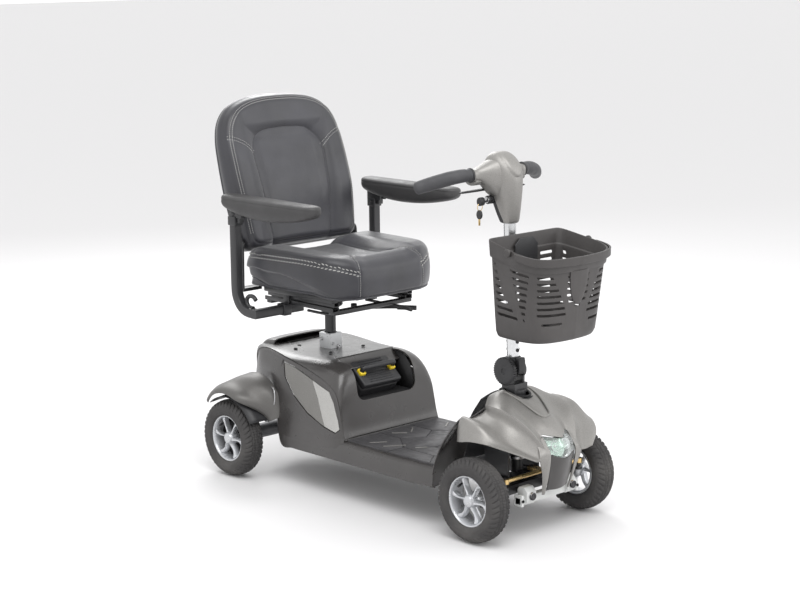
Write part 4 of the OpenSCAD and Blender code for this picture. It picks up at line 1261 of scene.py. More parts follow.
def add_front_shroud():
    """Sculpted hood: a crowned middle, a raised fold on each side and a fender over each wheel."""
    middle = surface_between("middle", HOOD_TOP, 60, 30)
    wing = surface_between("wing", HOOD_FENDER, 60, 50)
    half = joined("hood_half", [middle, wing])
    hood = mirrored_join("front_shroud_looks", half)
    hood = thick(hood, 3.2, 0)
    hole = extruded("hole", oval(398, 0, 40, 32, 48), 300, 400, "z")
    cut(hood, hole)
    hood = crisp(bevelled(hood, 1.2, 3, 50), 30)
    finished(hood, "grey_cover", "chassis", ["front_shroud"])
    for word, side in SIDES.items():
        line = smooth_curve([mm(x, y * side, z) for x, y,
                             z in [(372, 40, 353), (400, 41, 354), (440, 36, 341),
                                                               (475, 27, 321), (498, 16, 306),
                                   (504, 0, 302)]], 40)
        finished(tube(f"hood_fold_{word}_looks", line, 2.6), "grey_cover", "chassis")
        leg_lines = [[(530, 47, 262), (548, 47, 240), (560, 47, 218), (552, 46, 165), (537, 44, 112)],
                     [(532, 56, 256), (549, 58, 236), (560, 60, 216), (551, 55, 165), (535, 47, 111)],
                     [(530, 70, 250), (545, 74, 230), (552, 78, 208), (545, 62, 165), (532, 49, 111)]]
        guides = [[(x, y * side, z) for x, y, z in line] for line in leg_lines]
        leg = thick(surface_between("leg", guides, 40, 14), 4, 0)
        finished(crisp(bevelled(leg, 1, 2, 40)), "grey_cover", "chassis")
        back = [[(374, 90 * side, 320), (366, 140 * side, 300), (364, 171 * side, 304),
                 (352, 202 * side, 270)],
                [(330, 96 * side, 250), (326, 140 * side, 245), (322, 175 * side, 240),
                 (322, 205 * side, 225)],
                [(300, 100 * side, 165), (298, 140 * side, 165), (296, 178 * side, 165),
                 (294, 203 * side, 165)],
                [(294, 104 * side, 118), (293, 140 * side, 116), (292, 178 * side, 114),
                 (291, 205 * side, 112)]]
        liner = thick(surface_between("liner", back, 30, 30), 3, 0)
        finished(crisp(bevelled(liner, 1, 2, 40)), "satin_black_cover", "chassis",
                 ["wheel_arch_liner"] if side > 0 else [])
    rear = [[(355, -88, 338), (350, -40, 347), (349, 0, 348), (350, 40, 347), (355, 88, 338)],
            [(330, -100, 290), (322, -50, 300), (320, 0, 302), (322, 50, 300), (330, 100, 290)],
            [(312, -112, 225), (304, -56, 232), (302, 0, 234), (304, 56, 232), (312, 112, 225)],
            [(296, -112, 162), (292, -56, 162), (290, 0, 162), (292, 56, 162), (296, 112, 162)]]
    apron = thick(surface_between("hood_back_looks", rear, 40, 40), 3, 0)
    finished(crisp(bevelled(apron, 1, 2, 40)), "black_plastic", "chassis")
    collar = tube("collar", [mm(398 + 39 * math.cos(a), 31 * math.sin(a), 351 - 7 * math.cos(a))
                                          for a in turns(48)], 3.0, closed=True)
    well = lathe("well", [(-30, 24), (-30, 44), (4, 46), (4, 43), (-27, 41), (-27, 24)],
                 facing((396, 0, 344), (0.15, 0, 1)), 48)
    finished(joined("column_well_looks", [collar, well]), "dark_void", "chassis")


def add_headlamp():
    """Pointed lamp: a clear lens over a bright reflector with two bulbs."""
    outline = [(525, 45, 262), (541, 22, 258), (556, 0, 254), (541, -22, 258), (525, -45, 262)]
    low = [(559, 45, 221), (567, 22, 213), (570, 0, 208), (567, -22, 213), (559, -45, 221)]
    middle = [(548, 46, 243), (560, 23, 238), (570, 0, 233), (560, -23, 238), (548, -46, 243)]
    lens = thick(surface_between("headlamp_lens_looks", [outline, middle, low], 36, 24), 2.2, 0)
    finished(crisp(bevelled(lens, 0.6, 2, 40)), "lamp_glass", "chassis", ["headlamp_lens"])
    shrink = [[(x - 12, y * 0.9, z - 2) for x, y, z in line] for line in (outline, middle, low)]
    shell = thick(surface_between("reflector_looks", shrink, 24, 16), 1.5, 0)
    finished(shell, "reflector", "chassis")
    for k, y in enumerate((-20, 20)):
        cup = lathe(f"lamp_cup_{k}_looks",
                    [(-6, 0.01), (-5, 7), (0, 12), (5, 14.5), (5, 13), (0, 10), (-3, 4),
                                            (2, 3.5), (6, 2.5), (7, 0.01)],
                    facing((546, y, 234), (0.85, 0, 0.3)), 32)
        finished(cup, "bare_steel", "chassis")
    for k in range(6):
        z = 252 - 5 * k
        line = [mm(534 + 2.6 * k, y, z) for y in (18, 26, 34, 41)]
        finished(tube(f"lamp_rib_{k}_looks", line, 0.8), "silver_rim", "chassis")


def add_nose():
    """Dark panel under the lamp."""
    lines = [[(559, 43, 219), (567, 21, 211), (569, 0, 206), (567, -21, 211), (559, -43, 219)],
             [(553, 42, 185), (560, 21, 182), (562, 0, 181), (560, -21, 182), (553, -42, 185)],
             [(546, 40, 152), (551, 20, 150), (553, 0, 149), (551, -20, 150), (546, -40, 152)],
             [(537, 36, 122), (541, 18, 120), (542, 0, 119), (541, -18, 120), (537, -36, 122)]]
    panel = crisp(bevelled(thick(surface_between("nose_panel_looks", lines, 30, 24), 4, 0), 1.2, 3, 40))
    finished(panel, "satin_black_cover", "chassis", ["nose_panel"])


def add_bumper():
    """Crossbar with two chamfered blocks, each with a round rubber buffer."""
    bar = solid_box("bar", (494, -108, 90), (514, 108, 110), 2)
    parts = [bar]
    for side in (1, -1):
        outline = [(488, 92), (514, 88), (524, 100), (524, 122), (512, 134), (494, 134), (488, 126)]
        low, high = span(60, 94, side)
        parts.append(bevelled(extruded("block", outline, low, high), 2.2, 3))
        end_low, end_high = span(100, 108, side)
        parts.append(solid_box("end", (490, end_low, 86), (518, end_high, 116), 1.5))
    finished(crisp(joined("front_bumper_looks", parts)), "bumper_paint", "chassis", ["front_bumper"])
    buffers = []
    for side in (1, -1):
        knob = [(0, 0.01), (0, 9.5), (3, 10.5), (6, 10.5), (8, 9), (8.6, 6), (7.6, 5), (7.6, 0.01)]
        buffers.append(lathe("buffer", knob, facing((523, 77 * side, 111), (1, 0, 0)), 40))
        for y in (-108, 108):
            buffers.append(bolt("end_bolt", (518, y * 0.965, 101), (1, 0, 0), 4, 3))
    finished(joined("bumper_buffers_looks", buffers), "black_plastic", "chassis")


# ---------- tiller ----------

def on_tiller(x, y, z):
    """Place given along the leaning tiller, in millimetres from the tilt pin."""
    a = TILLER_LEAN
    return (TILT[0] + x * math.cos(a) - z * math.sin(a), y, TILT[1] + x * math.sin(a) + z * math.cos(a))


def tilt_disc():
    """Toothed locking disc with a dished face and a dimple in the middle."""
    teeth, steps = 36, 6
    rings = []
    for depth, radius, toothed in ((0, 20, 0), (0, 34, 1), (1, 35, 1), (11, 35, 1), (12.5, 33.8, 1),
                                   (14, 31.5, 0), (14.6, 26, 0), (14.0, 10, 0), (13.6, 8, 0), (11.4, 6.5, 0),
                                   (11.0, 2, 0)):
        ring = []
        for k in range(teeth * steps):
            a = 2 * math.pi * k / (teeth * steps)
            r = radius + (2.3 if toothed and k % steps in (1, 2, 3) else 0)
            ring.append(mm(TILT[0] + r * math.cos(a), -24.5 - depth, TILT[1] + r * math.sin(a)))
        rings.append(ring)
    return crisp(loft("tilt_disc", rings), 30)


def add_tilt_joint():
    """Locking disc, cast foot of the tiller, its clamp bolts and the yoke's cheeks."""
    finished(tilt_disc(), "black_plastic", "tilt_knob", ["tilt_knob"])
    rings = []
    for z, half_x, half_y in ((-20, 8, 12), (-10, 15, 14), (6, 17, 14), (14, 16, 14), (22, 18, 17),
                              (27, 19.5, 19),
                              (33, 19.5, 19), (35, 18, 18)):
        ring = []
        for k in range(64):
            a = 2 * math.pi * k / 64
            c, s = math.cos(a), math.sin(a)
            ring.append(mm(*on_tiller(half_x * signed_power(c, 0.8),
                                      half_y * signed_power(s, 0.8), z)))
        rings.append(ring)
    foot = crisp(bevelled(loft("foot", rings), 0.8, 2, 40), 35)
    lug_line = [(20, 34), (31, 34), (33, 26), (33, 2), (29, -8), (21, -12), (17, -4), (17, 26)]
    outline = [on_tiller(x, 0, z) for x, z in lug_line]
    lug = bevelled(extruded("lug", [(x, z) for x, _, z in outline], -12, 12), 2.0, 3)
    pin = lathe("pin", [(-24, 0.01), (-24, 9), (-22, 10), (22, 10), (24, 9), (24, 0.01)],
                facing((TILT[0], 0, TILT[1]), (0, 1, 0)), 40)
    finished(joined("tiller_foot_looks", [foot, lug, pin]), "black_plastic", "tiller", ["tiller_post"])
    bolts = []
    for z in (52, 74):
        for way in (-1, 1):
            bolts.append(bolt("tube_bolt", on_tiller(15.4 * way, 0, z), (way, 0, 0), 4.8, 4.2))
        bolts.append(bolt("tube_bolt", on_tiller(3, 15.6, z), (0, 1, 0), 4.4, 3.4))
    finished(joined("tube_bolts_looks", bolts), "black_plastic", "tiller")
    tube_rings = []
    for z in (33, 40, 200, 385):
        tube_rings.append([mm(*on_tiller(15.9 * math.cos(a), 15.9 * math.sin(a), z))
                           for a in turns(72)])
    finished(crisp(loft("tiller_tube_looks", tube_rings)), "tiller_silver", "tiller")


HEAD = [(790, 352, 391, 18), (794, 348, 396, 21), (812, 340, 399, 25), (840, 328, 402, 29),
        (870, 315, 404, 34),
        (900, 306, 404, 38), (922, 303, 400, 40), (940, 304, 391, 40), (954, 310, 378, 36),
        (964, 319, 364, 29),
        (970, 329, 352, 18), (971.5, 336, 345, 7)]


def head_shell():
    """Closed form of the tiller head, tall and tapered, rounded over the top."""
    rings = []
    for z, back, front, half in HEAD:
        ring = []
        middle, reach = (back + front) / 2, (front - back) / 2
        for k in range(96):
            a = 2 * math.pi * k / 96
            c, s = math.cos(a), math.sin(a)
            power = 0.86 if c > 0 else 0.62
            ring.append((middle + reach * signed_power(c, power),
                         half * signed_power(s, power), z))
        rings.append(ring)
    columns = [spline([mm(*ring[k]) for ring in rings], 70) for k in range(96)]
    loops = [[column[i] for column in columns] for i in range(70)]
    head = loft("head", loops)
    for vert in head.data.vertices:
        x, y, z = (c / MM for c in vert.co)
        side_line = abs(y) - (20 + 0.20 * (z - 800))
        if x > 345 and z < 958:
            vert.co.x += (2.0 * math.exp(-(side_line / 2.4) ** 2)
                          - 2.4 * math.exp(-((side_line - 6) / 2.6) ** 2)) * MM
        dome = math.hypot((z - 944) / 34, y / 24)
        if x > 330 and z > 880:
            vert.co.x += 3.2 * MM * (1 - smoothstep((dome - 0.85) / 0.18))
            vert.co.x -= 1.0 * MM * math.exp(-((dome - 1.06) / 0.05) ** 2)
    return head


def add_tiller_head():
    """Grey head cover, black rear housing, flared collars, dash plate, dial, horn and throttle paddles."""
    head = head_shell()
    rear = [(280, 770), (364, 770), (370, 796), (334, 884), (280, 884)]
    housing = new_object("housing", head.data.copy())
    half = extruded("half", grown(rear, -0.6), -100, 100)
    use(housing, "BOOLEAN", operation="INTERSECT", object=half, solver="EXACT")
    bpy.data.objects.remove(half)
    cut(head, extruded("rear", rear, -100, 100))
    finished(crisp(bevelled(head, 0.8, 2, 45), 30), "grey_cover", "tiller", ["head_cover"])
    finished(crisp(bevelled(housing, 0.8, 2, 45), 30), "black_plastic", "tiller", ["head_housing"])
    collars, sleeves = [], []
    for side in (1, -1):
        rings = []
        for t in [i / 24 for i in range(25)]:
            y = (22 + 72 * t) * side
            flare = 1 - smoothstep(t / 0.92)
            top, foot = 930 + 26 * flare, 899 - 44 * flare ** 1.7
            deep = 16 + 22 * flare
            x, z, tall = 326 + 18 * flare, (top + foot) / 2, (top - foot) / 2
            rings.append([mm(x + deep * signed_power(math.cos(a), 0.75), y,
                             z + tall * signed_power(math.sin(a), 0.8))
                          for a in turns(48)])
        collars.append(crisp(bevelled(loft("collar", rings), 1.0, 3, 50), 35))
        rings = []
        for t in [i / 12 for i in range(13)]:
            y = (40 + 50 * t) * side
            rings.append([mm(322 + 20 * math.cos(a), y, 903 - 4 * t + (14 - 4 * t) * math.sin(a))
                          for a in turns(32)])
        sleeves.append(crisp(bevelled(loft("sleeve", rings), 1.0, 2, 50), 35))
    finished(joined("head_collars_looks", collars), "grey_cover", "tiller")
    finished(joined("collar_sleeves_looks", sleeves), "grey_dark", "tiller")
    plate = lathe("dash_plate_looks",
                  [(-3, 0.01), (-3, 26), (0, 30), (2.5, 30), (3.5, 28.5), (3.5, 17.5), (1.5, 16.5),
                                       (1.5, 0.01)], facing((322.5, 0, 950), DASH_UP), 80)
    finished(crisp(plate), "black_plastic", "tiller")
    knob = []
    for k in range(24):
        a = 2 * math.pi * k / 24
        knob.append(a)
    dial = lathe("dial", [(-4, 0.01), (-4, 14.4), (8, 13.4), (10.5, 12.4), (12, 10.5), (12.4, 0.01)],
                 facing((322, 0, 948), DASH_UP), 96)
    for vert in dial.data.vertices:
        local = facing((322, 0, 948), DASH_UP).inverted() @ vert.co
        if math.hypot(local.y, local.z) > 10.8 * MM:
            a = math.atan2(local.z, local.y)
            vert.co += (vert.co - mm(322, 0, 948)).normalized() * 0.45 * MM * math.sin(24 * a)
    finished(crisp(dial), "black_plastic", "speed_dial", ["speed_dial"])
    horn = lathe("horn_looks", [(-2, 0.01), (-2, 6.7), (6, 6.7), (8, 6.0), (9, 4), (9.4, 0.01)],
                 facing(tuple(Vector((322, 34, 948)) + Vector((1.77, 0, 0.94))), DASH_UP), 40)
    finished(crisp(horn), "horn_amber", "horn", ["horn_button"])
    paddles = []
    for side in (1, -1):
        rings = []
        for t in [i / 20 for i in range(21)]:
            y = (6 + 112 * t) * side
            wide = 5.5 + 5.0 * math.sin(math.pi * min(1, 0.15 + t)) ** 0.5
            thin = 3.0 if 0 < t < 1 else 1.6
            rings.append([mm(317 - 6 * t * t + wide * math.cos(a), y, 875 - 3 * t + thin * math.sin(a))
                          for a in turns(24)])
        paddles.append(crisp(loft("paddle", rings), 40))
    paddles.append(lathe("paddle_boss", [(-7, 0.01), (-7, 9), (6, 9.5), (7, 8), (7, 0.01)],
                         facing((318, 0, 875), (0, 0, 1)), 40))
    finished(joined("throttle_looks", paddles), "black_plastic", "throttle", ["throttle_paddle"])


def bar_line():
    """Middle line of the left half of the handlebar in millimetres."""
    return [(330, 50, 914), (326, 96, 917), (312, 138, 914), (286, 186, 902), (254, 226, 887)]


def add_grips():
    """Smooth moulded grips with a collar at the inner end and a rounded drooping tip."""
    line = smooth_curve([mm(*p) for p in bar_line()], 80)
    for word, side in SIDES.items():
        place = [Vector((p.x, p.y * side, p.z)) for p in line]
        start = int(0.24 * len(place))
        path = place[start:]
        count = len(path)
        radii = []
        for i in range(count):
            t = i / (count - 1)
            r = 16.4 + 1.6 * math.sin(math.pi * t) - 1.4 * math.exp(-((t - 0.06) / 0.02) ** 2)
            tip = max(0, (t - 0.93) / 0.07)
            radii.append(max(0.6, r * math.sqrt(max(0, 1 - tip * tip))))
        grip = tube(f"grip_{word}_looks", path, 1, 40, radii=radii)
        finished(crisp(grip, 60), "grip_rubber", "tiller", [f"grip_{word}"])
        ring = [lathe("ring", [(-3, 10), (-3, 18), (-1, 19), (2, 19), (3, 18), (3, 10)],
                      facing((325, 95 * side, 916), (-0.15, side, 0)), 48)]
        finished(joined(f"grip_ring_{word}_looks", ring), "black_plastic", "tiller")


def add_handlebar():
    """Steel bar inside the grips and the stem that holds it in the head."""
    half = smooth_curve([mm(*p) for p in bar_line()], 40)[:34]
    other = [Vector((p.x, -p.y, p.z)) for p in half]
    bar = tube("bar", other[::-1] + half, 10.5, 10)
    stem = tube("stem", [mm(330, 0, 914), mm(370, 0, 825)], 9, 10)
    finished(joined("handlebar_looks", [bar, stem]), "frame_steel", "tiller", ["handlebar"])


def add_key():
    """Lock barrel with the key in it and its spare hanging from a split ring."""
    at = (338, -50, 846)
    barrel = lathe("barrel", [(-10, 0.01), (-10, 11), (6, 11), (8, 9.5), (8, 5), (7, 0.01)],
                   facing((338, -40, 850), (0, -1, 0)), 40)
    finished(crisp(barrel), "black_plastic", "tiller")
    ferrule = lathe("ferrule_looks", [(0, 0.01), (0, 8), (2.4, 7.6), (2.8, 6.5), (2.8, 0.01)],
                    facing((338, -48, 850), (0, -1, 0)), 40)
    finished(crisp(ferrule), "bare_steel", "tiller")
    bow = extruded("bow", [(at[0] + 9 * math.cos(a), at[2] + 2 + 11 * math.sin(a))
                           for a in turns(28)], -78, -62)
    bow = bevelled(bow, 2.5, 3)
    shank = solid_box("shank", (336.5, -63, 844), (339.5, -50, 849), 0.4)
    finished(joined("key_looks", [bow, shank]), "black_plastic", "key", ["ignition_key"])
    ring = [mm(338, -74 + 9 * math.cos(a), 834 + 9 * math.sin(a)) for a in turns(36)]
    wire = tube("key_ring", ring, 0.9, 8, closed=True)
    spare = solid_box("spare", (336.6, -78.5, 787), (339.4, -73.5, 806), 0.4)
    finished(joined("key_ring_looks", [wire, spare]), "brass_rod", "key")
    tag = bevelled(extruded("tag", oval(338, 815, 9, 12, 28), -79, -72), 2, 3)
    finished(tag, "black_plastic", "key")


# ---------- basket ----------

BASKET_LOW, BASKET_RIM = 520, 768
BASKET_SLOPE = 0.20


def basket_sag(x, z):
    """How far the basket's wall hangs lower toward the front, in metres, at one place and height."""
    return BASKET_SLOPE * (x - 0.424) * max(0, z - BASKET_LOW) / (BASKET_RIM - BASKET_LOW)


def basket_loop(z, margin=0.0, count=240):
    """Points around the basket at one height, in metres, starting in the middle of the front."""
    t = (z - BASKET_LOW) / (BASKET_RIM - BASKET_LOW)
    back, front = 424 - margin, 594 + 20 * t + margin
    half = 112 + 26 * max(0, t) ** 0.9 + margin
    side = [(front, 0), (front - 4, half * 0.42), (front - 14, half * 0.76), (front - 34, half * 0.97),
            (front - 74, half * 1.05), ((back + front) / 2 - 16, half * 1.03), (back + 22, half * 0.98),
            (back + 4, half * 0.92), (back, half * 0.8), (back, half * 0.4), (back, 0)]
    left = spline([mm(x, y, z) for x, y in side], count // 2 + 1)
    left = resample(left, count // 2 + 1)
    right = [Vector((p.x, -p.y, p.z)) for p in left[-2:0:-1]]
    return [Vector((p.x, p.y, p.z - basket_sag(p.x, z))) for p in left + right]


def basket_place(u, z, margin=0.0):
    """Place on the basket wall: u is 0 at the front middle and 1 at the back middle, minus for the right."""
    loop = basket_loop(z, margin)
    half = len(loop) // 2
    f = abs(u) * half
    i = min(half - 1, int(f))
    p = loop[i].lerp(loop[i + 1] if i + 1 < len(loop) else loop[0], f - i)
    return Vector((p.x, p.y * (1 if u >= 0 else -1), p.z))


def basket_slot(u0, u1, z, tall, lean=0.0):
    """Cutter for one slot between two places around the wall, with blunt ends."""
    blunt = 0.004
    steps = 6
    between = [u0 + blunt + (u1 - u0 - 2 * blunt) * i / steps for i in range(steps + 1)]
    sections = []
    for u, inset in [(u0, 2)] + [(u, 0) for u in between] + [(u1, 2)]:
        low, high = z - tall / 2 + inset, z + tall / 2 - inset
        sections.append([basket_place(u, low, -6), basket_place(u, low, 6),
                         basket_place(u + lean, high, 6), basket_place(u + lean, high, -6)])
    return loft("slot", sections)


def basket_slots():
    """All the slots of the basket: columns whose ends follow the curves of the panels."""
    slots = []
    front_inner = (0.205, 0.185, 0.162, 0.142, 0.122, 0.108, 0.098)
    side_front = (0.640, 0.632, 0.618, 0.604, 0.587, 0.545, 0.500, 0.455)
    for row in range(8):
        z = 710 - 18.4 * row
        spans = [(0.363 + 0.005 * row, 0.512 - 0.0145 * row), (side_front[row], 0.662)]
        if row < 7:
            spans.append((front_inner[row], 0.313))
            spans += [(0.745, 0.855), (0.885, 0.955)]
        if row < 4:
            spans.append((0.073 - 0.004 * row * row / 2, 0.094))
        if row == 4:
            spans.append((0.016, 0.078))
        for u0, u1 in spans:
            for side in (1, -1):
                low, high = span(u0, u1, side)
                slots.append(basket_slot(low, high, z, 8.5, 0.004 * side))
    slots.append(basket_slot(-0.025, 0.025, 621, 7))
    for side in (1, -1):
        low, high = span(0.13, 0.285, side)
        slots.append(basket_slot(low, high, 572, 8))
    return slots


def basket_wall():
    """Wall and floor of the basket as one closed skin, up the outside and down the inside."""
    low = BASKET_LOW
    rows = []
    for share in (0.02, 0.3, 0.6, 0.86, 0.95):
        rows.append([Vector((0.480 + (p.x - 0.480) * share, p.y * share,
                             (low - 4) * MM)) for p in basket_loop(low)])
    outside = ((low - 3, -2.5), (low + 1, 0), (low + 12, 2.2), (570, 2.0), (630, 1.4), (690, 0.8), (720, 0.4),
               (725, 0.4), (726, 3.4), (728, 4), (BASKET_RIM - 2, 4), (BASKET_RIM, 3.2))
    inside = ((BASKET_RIM, 1.4), (BASKET_RIM - 2, 0.6), (731, 0.6), (728, -2.6), (720, -2.8), (690, -2.4),
              (630, -1.8), (570, -1.2), (low + 12, -1.2), (low + 3, -3.4), (low, -6))
    for z, margin in outside + inside:
        rows.append(basket_loop(z, margin))
    for share in (0.9, 0.6, 0.3, 0.02):
        rows.append([Vector((0.480 + (p.x - 0.480) * share, p.y * share, (low - 0.5) * MM))
                     for p in basket_loop(low, -6)])
    return loft("basket", rows)


def add_basket():
    """Slotted basket with a tall rim band, a smooth shield in front and a rounded foot."""
    wall = outward(basket_wall())
    slots = outward(joined("slots", basket_slots()))
    cut(wall, slots)
    wall = crisp(bevelled(wall, 0.7, 2, 40), 35)
    finished(wall, "basket_plastic", "basket", ["basket"])
    shield_rows = []
    for i in range(14):
        t = i / 13
        z = 728 - 103 * t
        wide = 0.080 * math.sqrt(max(0.0, 1 - t ** 2.2))
        shield_rows.append([basket_place(-wide + 2 * wide * j / 12, z,
                                         1.5 + 2.2 * (1 - (2 * j / 12 - 1) ** 4))
                            for j in range(13)])
    shield = thick(grid("basket_shield_looks", shield_rows), 1.6, -1)
    finished(crisp(shield), "basket_plastic", "basket")
    ribs = []
    for y in (-60, -30, 0, 30, 60):
        ribs.append(solid_box("rib", (436, y - 1.5, BASKET_LOW), (520, y + 1.5, BASKET_LOW + 4), 0.6))
    hook = bevelled(extruded("hook", [(-42, 700), (42, 700), (42, 742), (24, 758), (-24, 758), (-42, 742)],
                             427, 432, "x"), 1.2)
    rivets = []
    for side in (1, -1):
        rivets.append(lathe("rivet", [(-3, 0.01), (-3, 6), (2.4, 6), (3.6, 4.4), (3.8, 0.01)],
                            facing((507, 148 * side, 741), (0, side, 0)), 28))
    finished(joined("basket_fittings_looks", ribs + [hook] + rivets), "black_plastic", "basket")


def add_basket_handle():
    """Flat strap that lies around the front of the rim, from rivet to rivet."""
    reach, last = 0.452, 96
    path = []
    for k in range(last + 1):
        u = -reach + 2 * reach * k / last
        path.append(basket_place(u, 740, 9.5))
    middle = Vector((0.490, 0, 0))
    rows = []
    for k, p in enumerate(path):
        end = min(k, last - k)
        tall = 10.5 - 2.5 * (1 - min(1, end / 10))
        out = Vector((p.x - middle.x, p.y, 0)).normalized()
        slope = basket_sag(0.507, 742) - basket_sag(p.x, 742)
        base = Vector((p.x, p.y, 0.742 + slope))
        section = [(-tall, -1.8), (-tall, 1.8), (-tall + 2, 2.6), (tall - 4, 2.6), (tall - 1, 3.4),
                   (tall, 2.0),
                   (tall, -1.8)]
        rows.append([base + (Vector((0, 0, 1)) * h + out * w) * MM for h, w in section])
    strap = crisp(bevelled(loft("strap", rows), 0.8, 2, 40), 35)
    ends = []
    for side in (1, -1):
        ends.append(lathe("end", [(-2, 0.01), (-2, 10), (3, 10), (4.5, 8), (4.8, 0.01)],
                          facing((507, 151 * side, 744), (0, side, 0)), 36))
    finished(joined("basket_handle_looks", [strap] + ends), "basket_plastic", "basket_handle",
             ["basket_handle"])


# ---------- seat hardware ----------

def boat(side):
    """Deep arm pad: flat rounded top, an outer side that dips like a boat and rises to the tip."""
    rings = []
    count = 60
    for i in range(count):
        t = i / (count - 1)
        x = -468 + 396 * t
        end = min(1, math.sqrt(max(0.0, 1 - (1 - min(t / 0.06, 1)) ** 2)) if t < 0.06 else
                  math.sqrt(max(0.0, 1 - max(0, (t - 0.92) / 0.08) ** 2)))
        end = max(end, 0.12)
        half = (26 + 8 * math.sin(math.pi * t ** 0.8)) * end
        depth = 24 + 35 * math.sin(math.pi * t ** 0.88) ** 0.65
        top = 815 - 2 * t
        middle = top - depth / 2
        ring = []
        for k in range(72):
            a = 2 * math.pi * k / 72
            c, s = math.cos(a), math.sin(a)
            y = half * signed_power(c, 0.55)
            z = depth / 2 * end ** 0.4 * math.copysign(abs(s) ** (0.45 if s > 0 else 0.75), s)
            crown = 2.2 * (1 - (y / max(half, 1)) ** 2) if s > 0 else 0
            ring.append(mm(x, ARM_Y * side + y * (1 - 0.10 * (s < 0) * abs(s)), middle + z + crown * end))
        rings.append(ring)
    return loft("boat", rings)


def rounded_square(corner):
    """Corners of a unit square section with its corners cut round."""
    points = []
    for quarter in range(4):
        turn = math.pi / 2 * quarter
        for k in range(4):
            a = turn + math.pi / 2 * k / 3
            u = (1 - corner) * (1 if quarter in (0, 3) else -1) + corner * math.cos(a)
            v = (1 - corner) * (1 if quarter in (0, 1) else -1) + corner * math.sin(a)
            points.append((u, v))
    return points


def add_armrests():
    """Padded arms with a piping seam, hinge brackets and swept square tubes under the seat."""
    for word, side in SIDES.items():
        pad = boat(side)
        for vert in pad.data.vertices:
            x, y, z = (c / MM for c in vert.co)
            seam = z - 803
            if abs(seam) < 6:
                vert.co.y -= (y - ARM_Y * side) / 32 * 1.6 * MM * math.exp(-(seam / 1.3) ** 2)
        finished(pad, "arm_pad", f"armrest_{word}", [f"armrest_{word}"])
        plates = []
        for y in (250, 271):
            plates.append(solid_box("plate", (-441, y * side - 2.5, 752), (-385, y * side + 2.5, 800), 1.5))
        plates.append(lathe("pin", [(-14, 0.01), (-14, 8), (-11, 9), (11, 9), (14, 8), (14, 0.01)],
                            facing((-425, ARM_Y * side, 764), (0, 1, 0)), 32))
        finished(joined(f"arm_bracket_{word}_looks", plates), "frame_steel", f"armrest_{word}")
        half = 12.5
        post_y = ARM_Y * side
        line = [(-425, 742), (-425, 690), (-425, 620), (-425, 556), (-421, 530), (-408, 508), (-389, 495),
                (-366, 490),
                (-352, 490)]
        path = smooth_curve([mm(x, 0, z) for x, z in line], 80)
        rings = []
        for i, p in enumerate(path):
            d = (path[min(i + 1, len(path) - 1)] - path[max(i - 1, 0)]).normalized()
            across = Vector((-d.z, 0, d.x))
            middle = Vector((p.x, post_y * MM, p.z))
            rings.append([middle + (across * u + Vector((0, v, 0))) * half * MM for u,
                          v in rounded_square(0.28)])
        post = crisp(loft("post", rings), 40)
        run = [[mm(-340 + u * half, y, 490 + v * half) for u, v in rounded_square(0.28)]
               for y in ((ARM_Y + half) * side, 255 * side, 180 * side, 102 * side)]
        post = joined("arm_post", [post, crisp(loft("run", run), 40)])
        caps = [solid_box("cap", (-441, post_y - 15, 730), (-409, post_y + 15, 756), 2.5),
                bolt("post_bolt", (-425, post_y - side * 15, 742), (0, -side, 0), 5, 4),
                bolt("post_bolt", (-442, post_y, 742), (-1, 0, 0), 5, 5)]
        clip = solid_box("clip", (-408, post_y - 9, 738), (-396, post_y + 9, 770), 2)
        finished(joined(f"arm_tube_{word}_looks", [post, clip] + caps), "frame_steel", f"arm_{word}",
                 [f"arm_post_{word}"])


def channel(name, x0, x1, y, z, wide, tall, wall=3):
    """Rail of U section, open at the top, running front to back."""
    outline = [(y - wide / 2, z), (y + wide / 2, z), (y + wide / 2, z + tall),
               (y + wide / 2 - wall, z + tall),
               (y + wide / 2 - wall, z + wall), (y - wide / 2 + wall, z + wall),
               (y - wide / 2 + wall, z + tall),
               (y - wide / 2, z + tall)]
    return bevelled(extruded(name, outline, x0, x1, "x"), 0.8, 2)


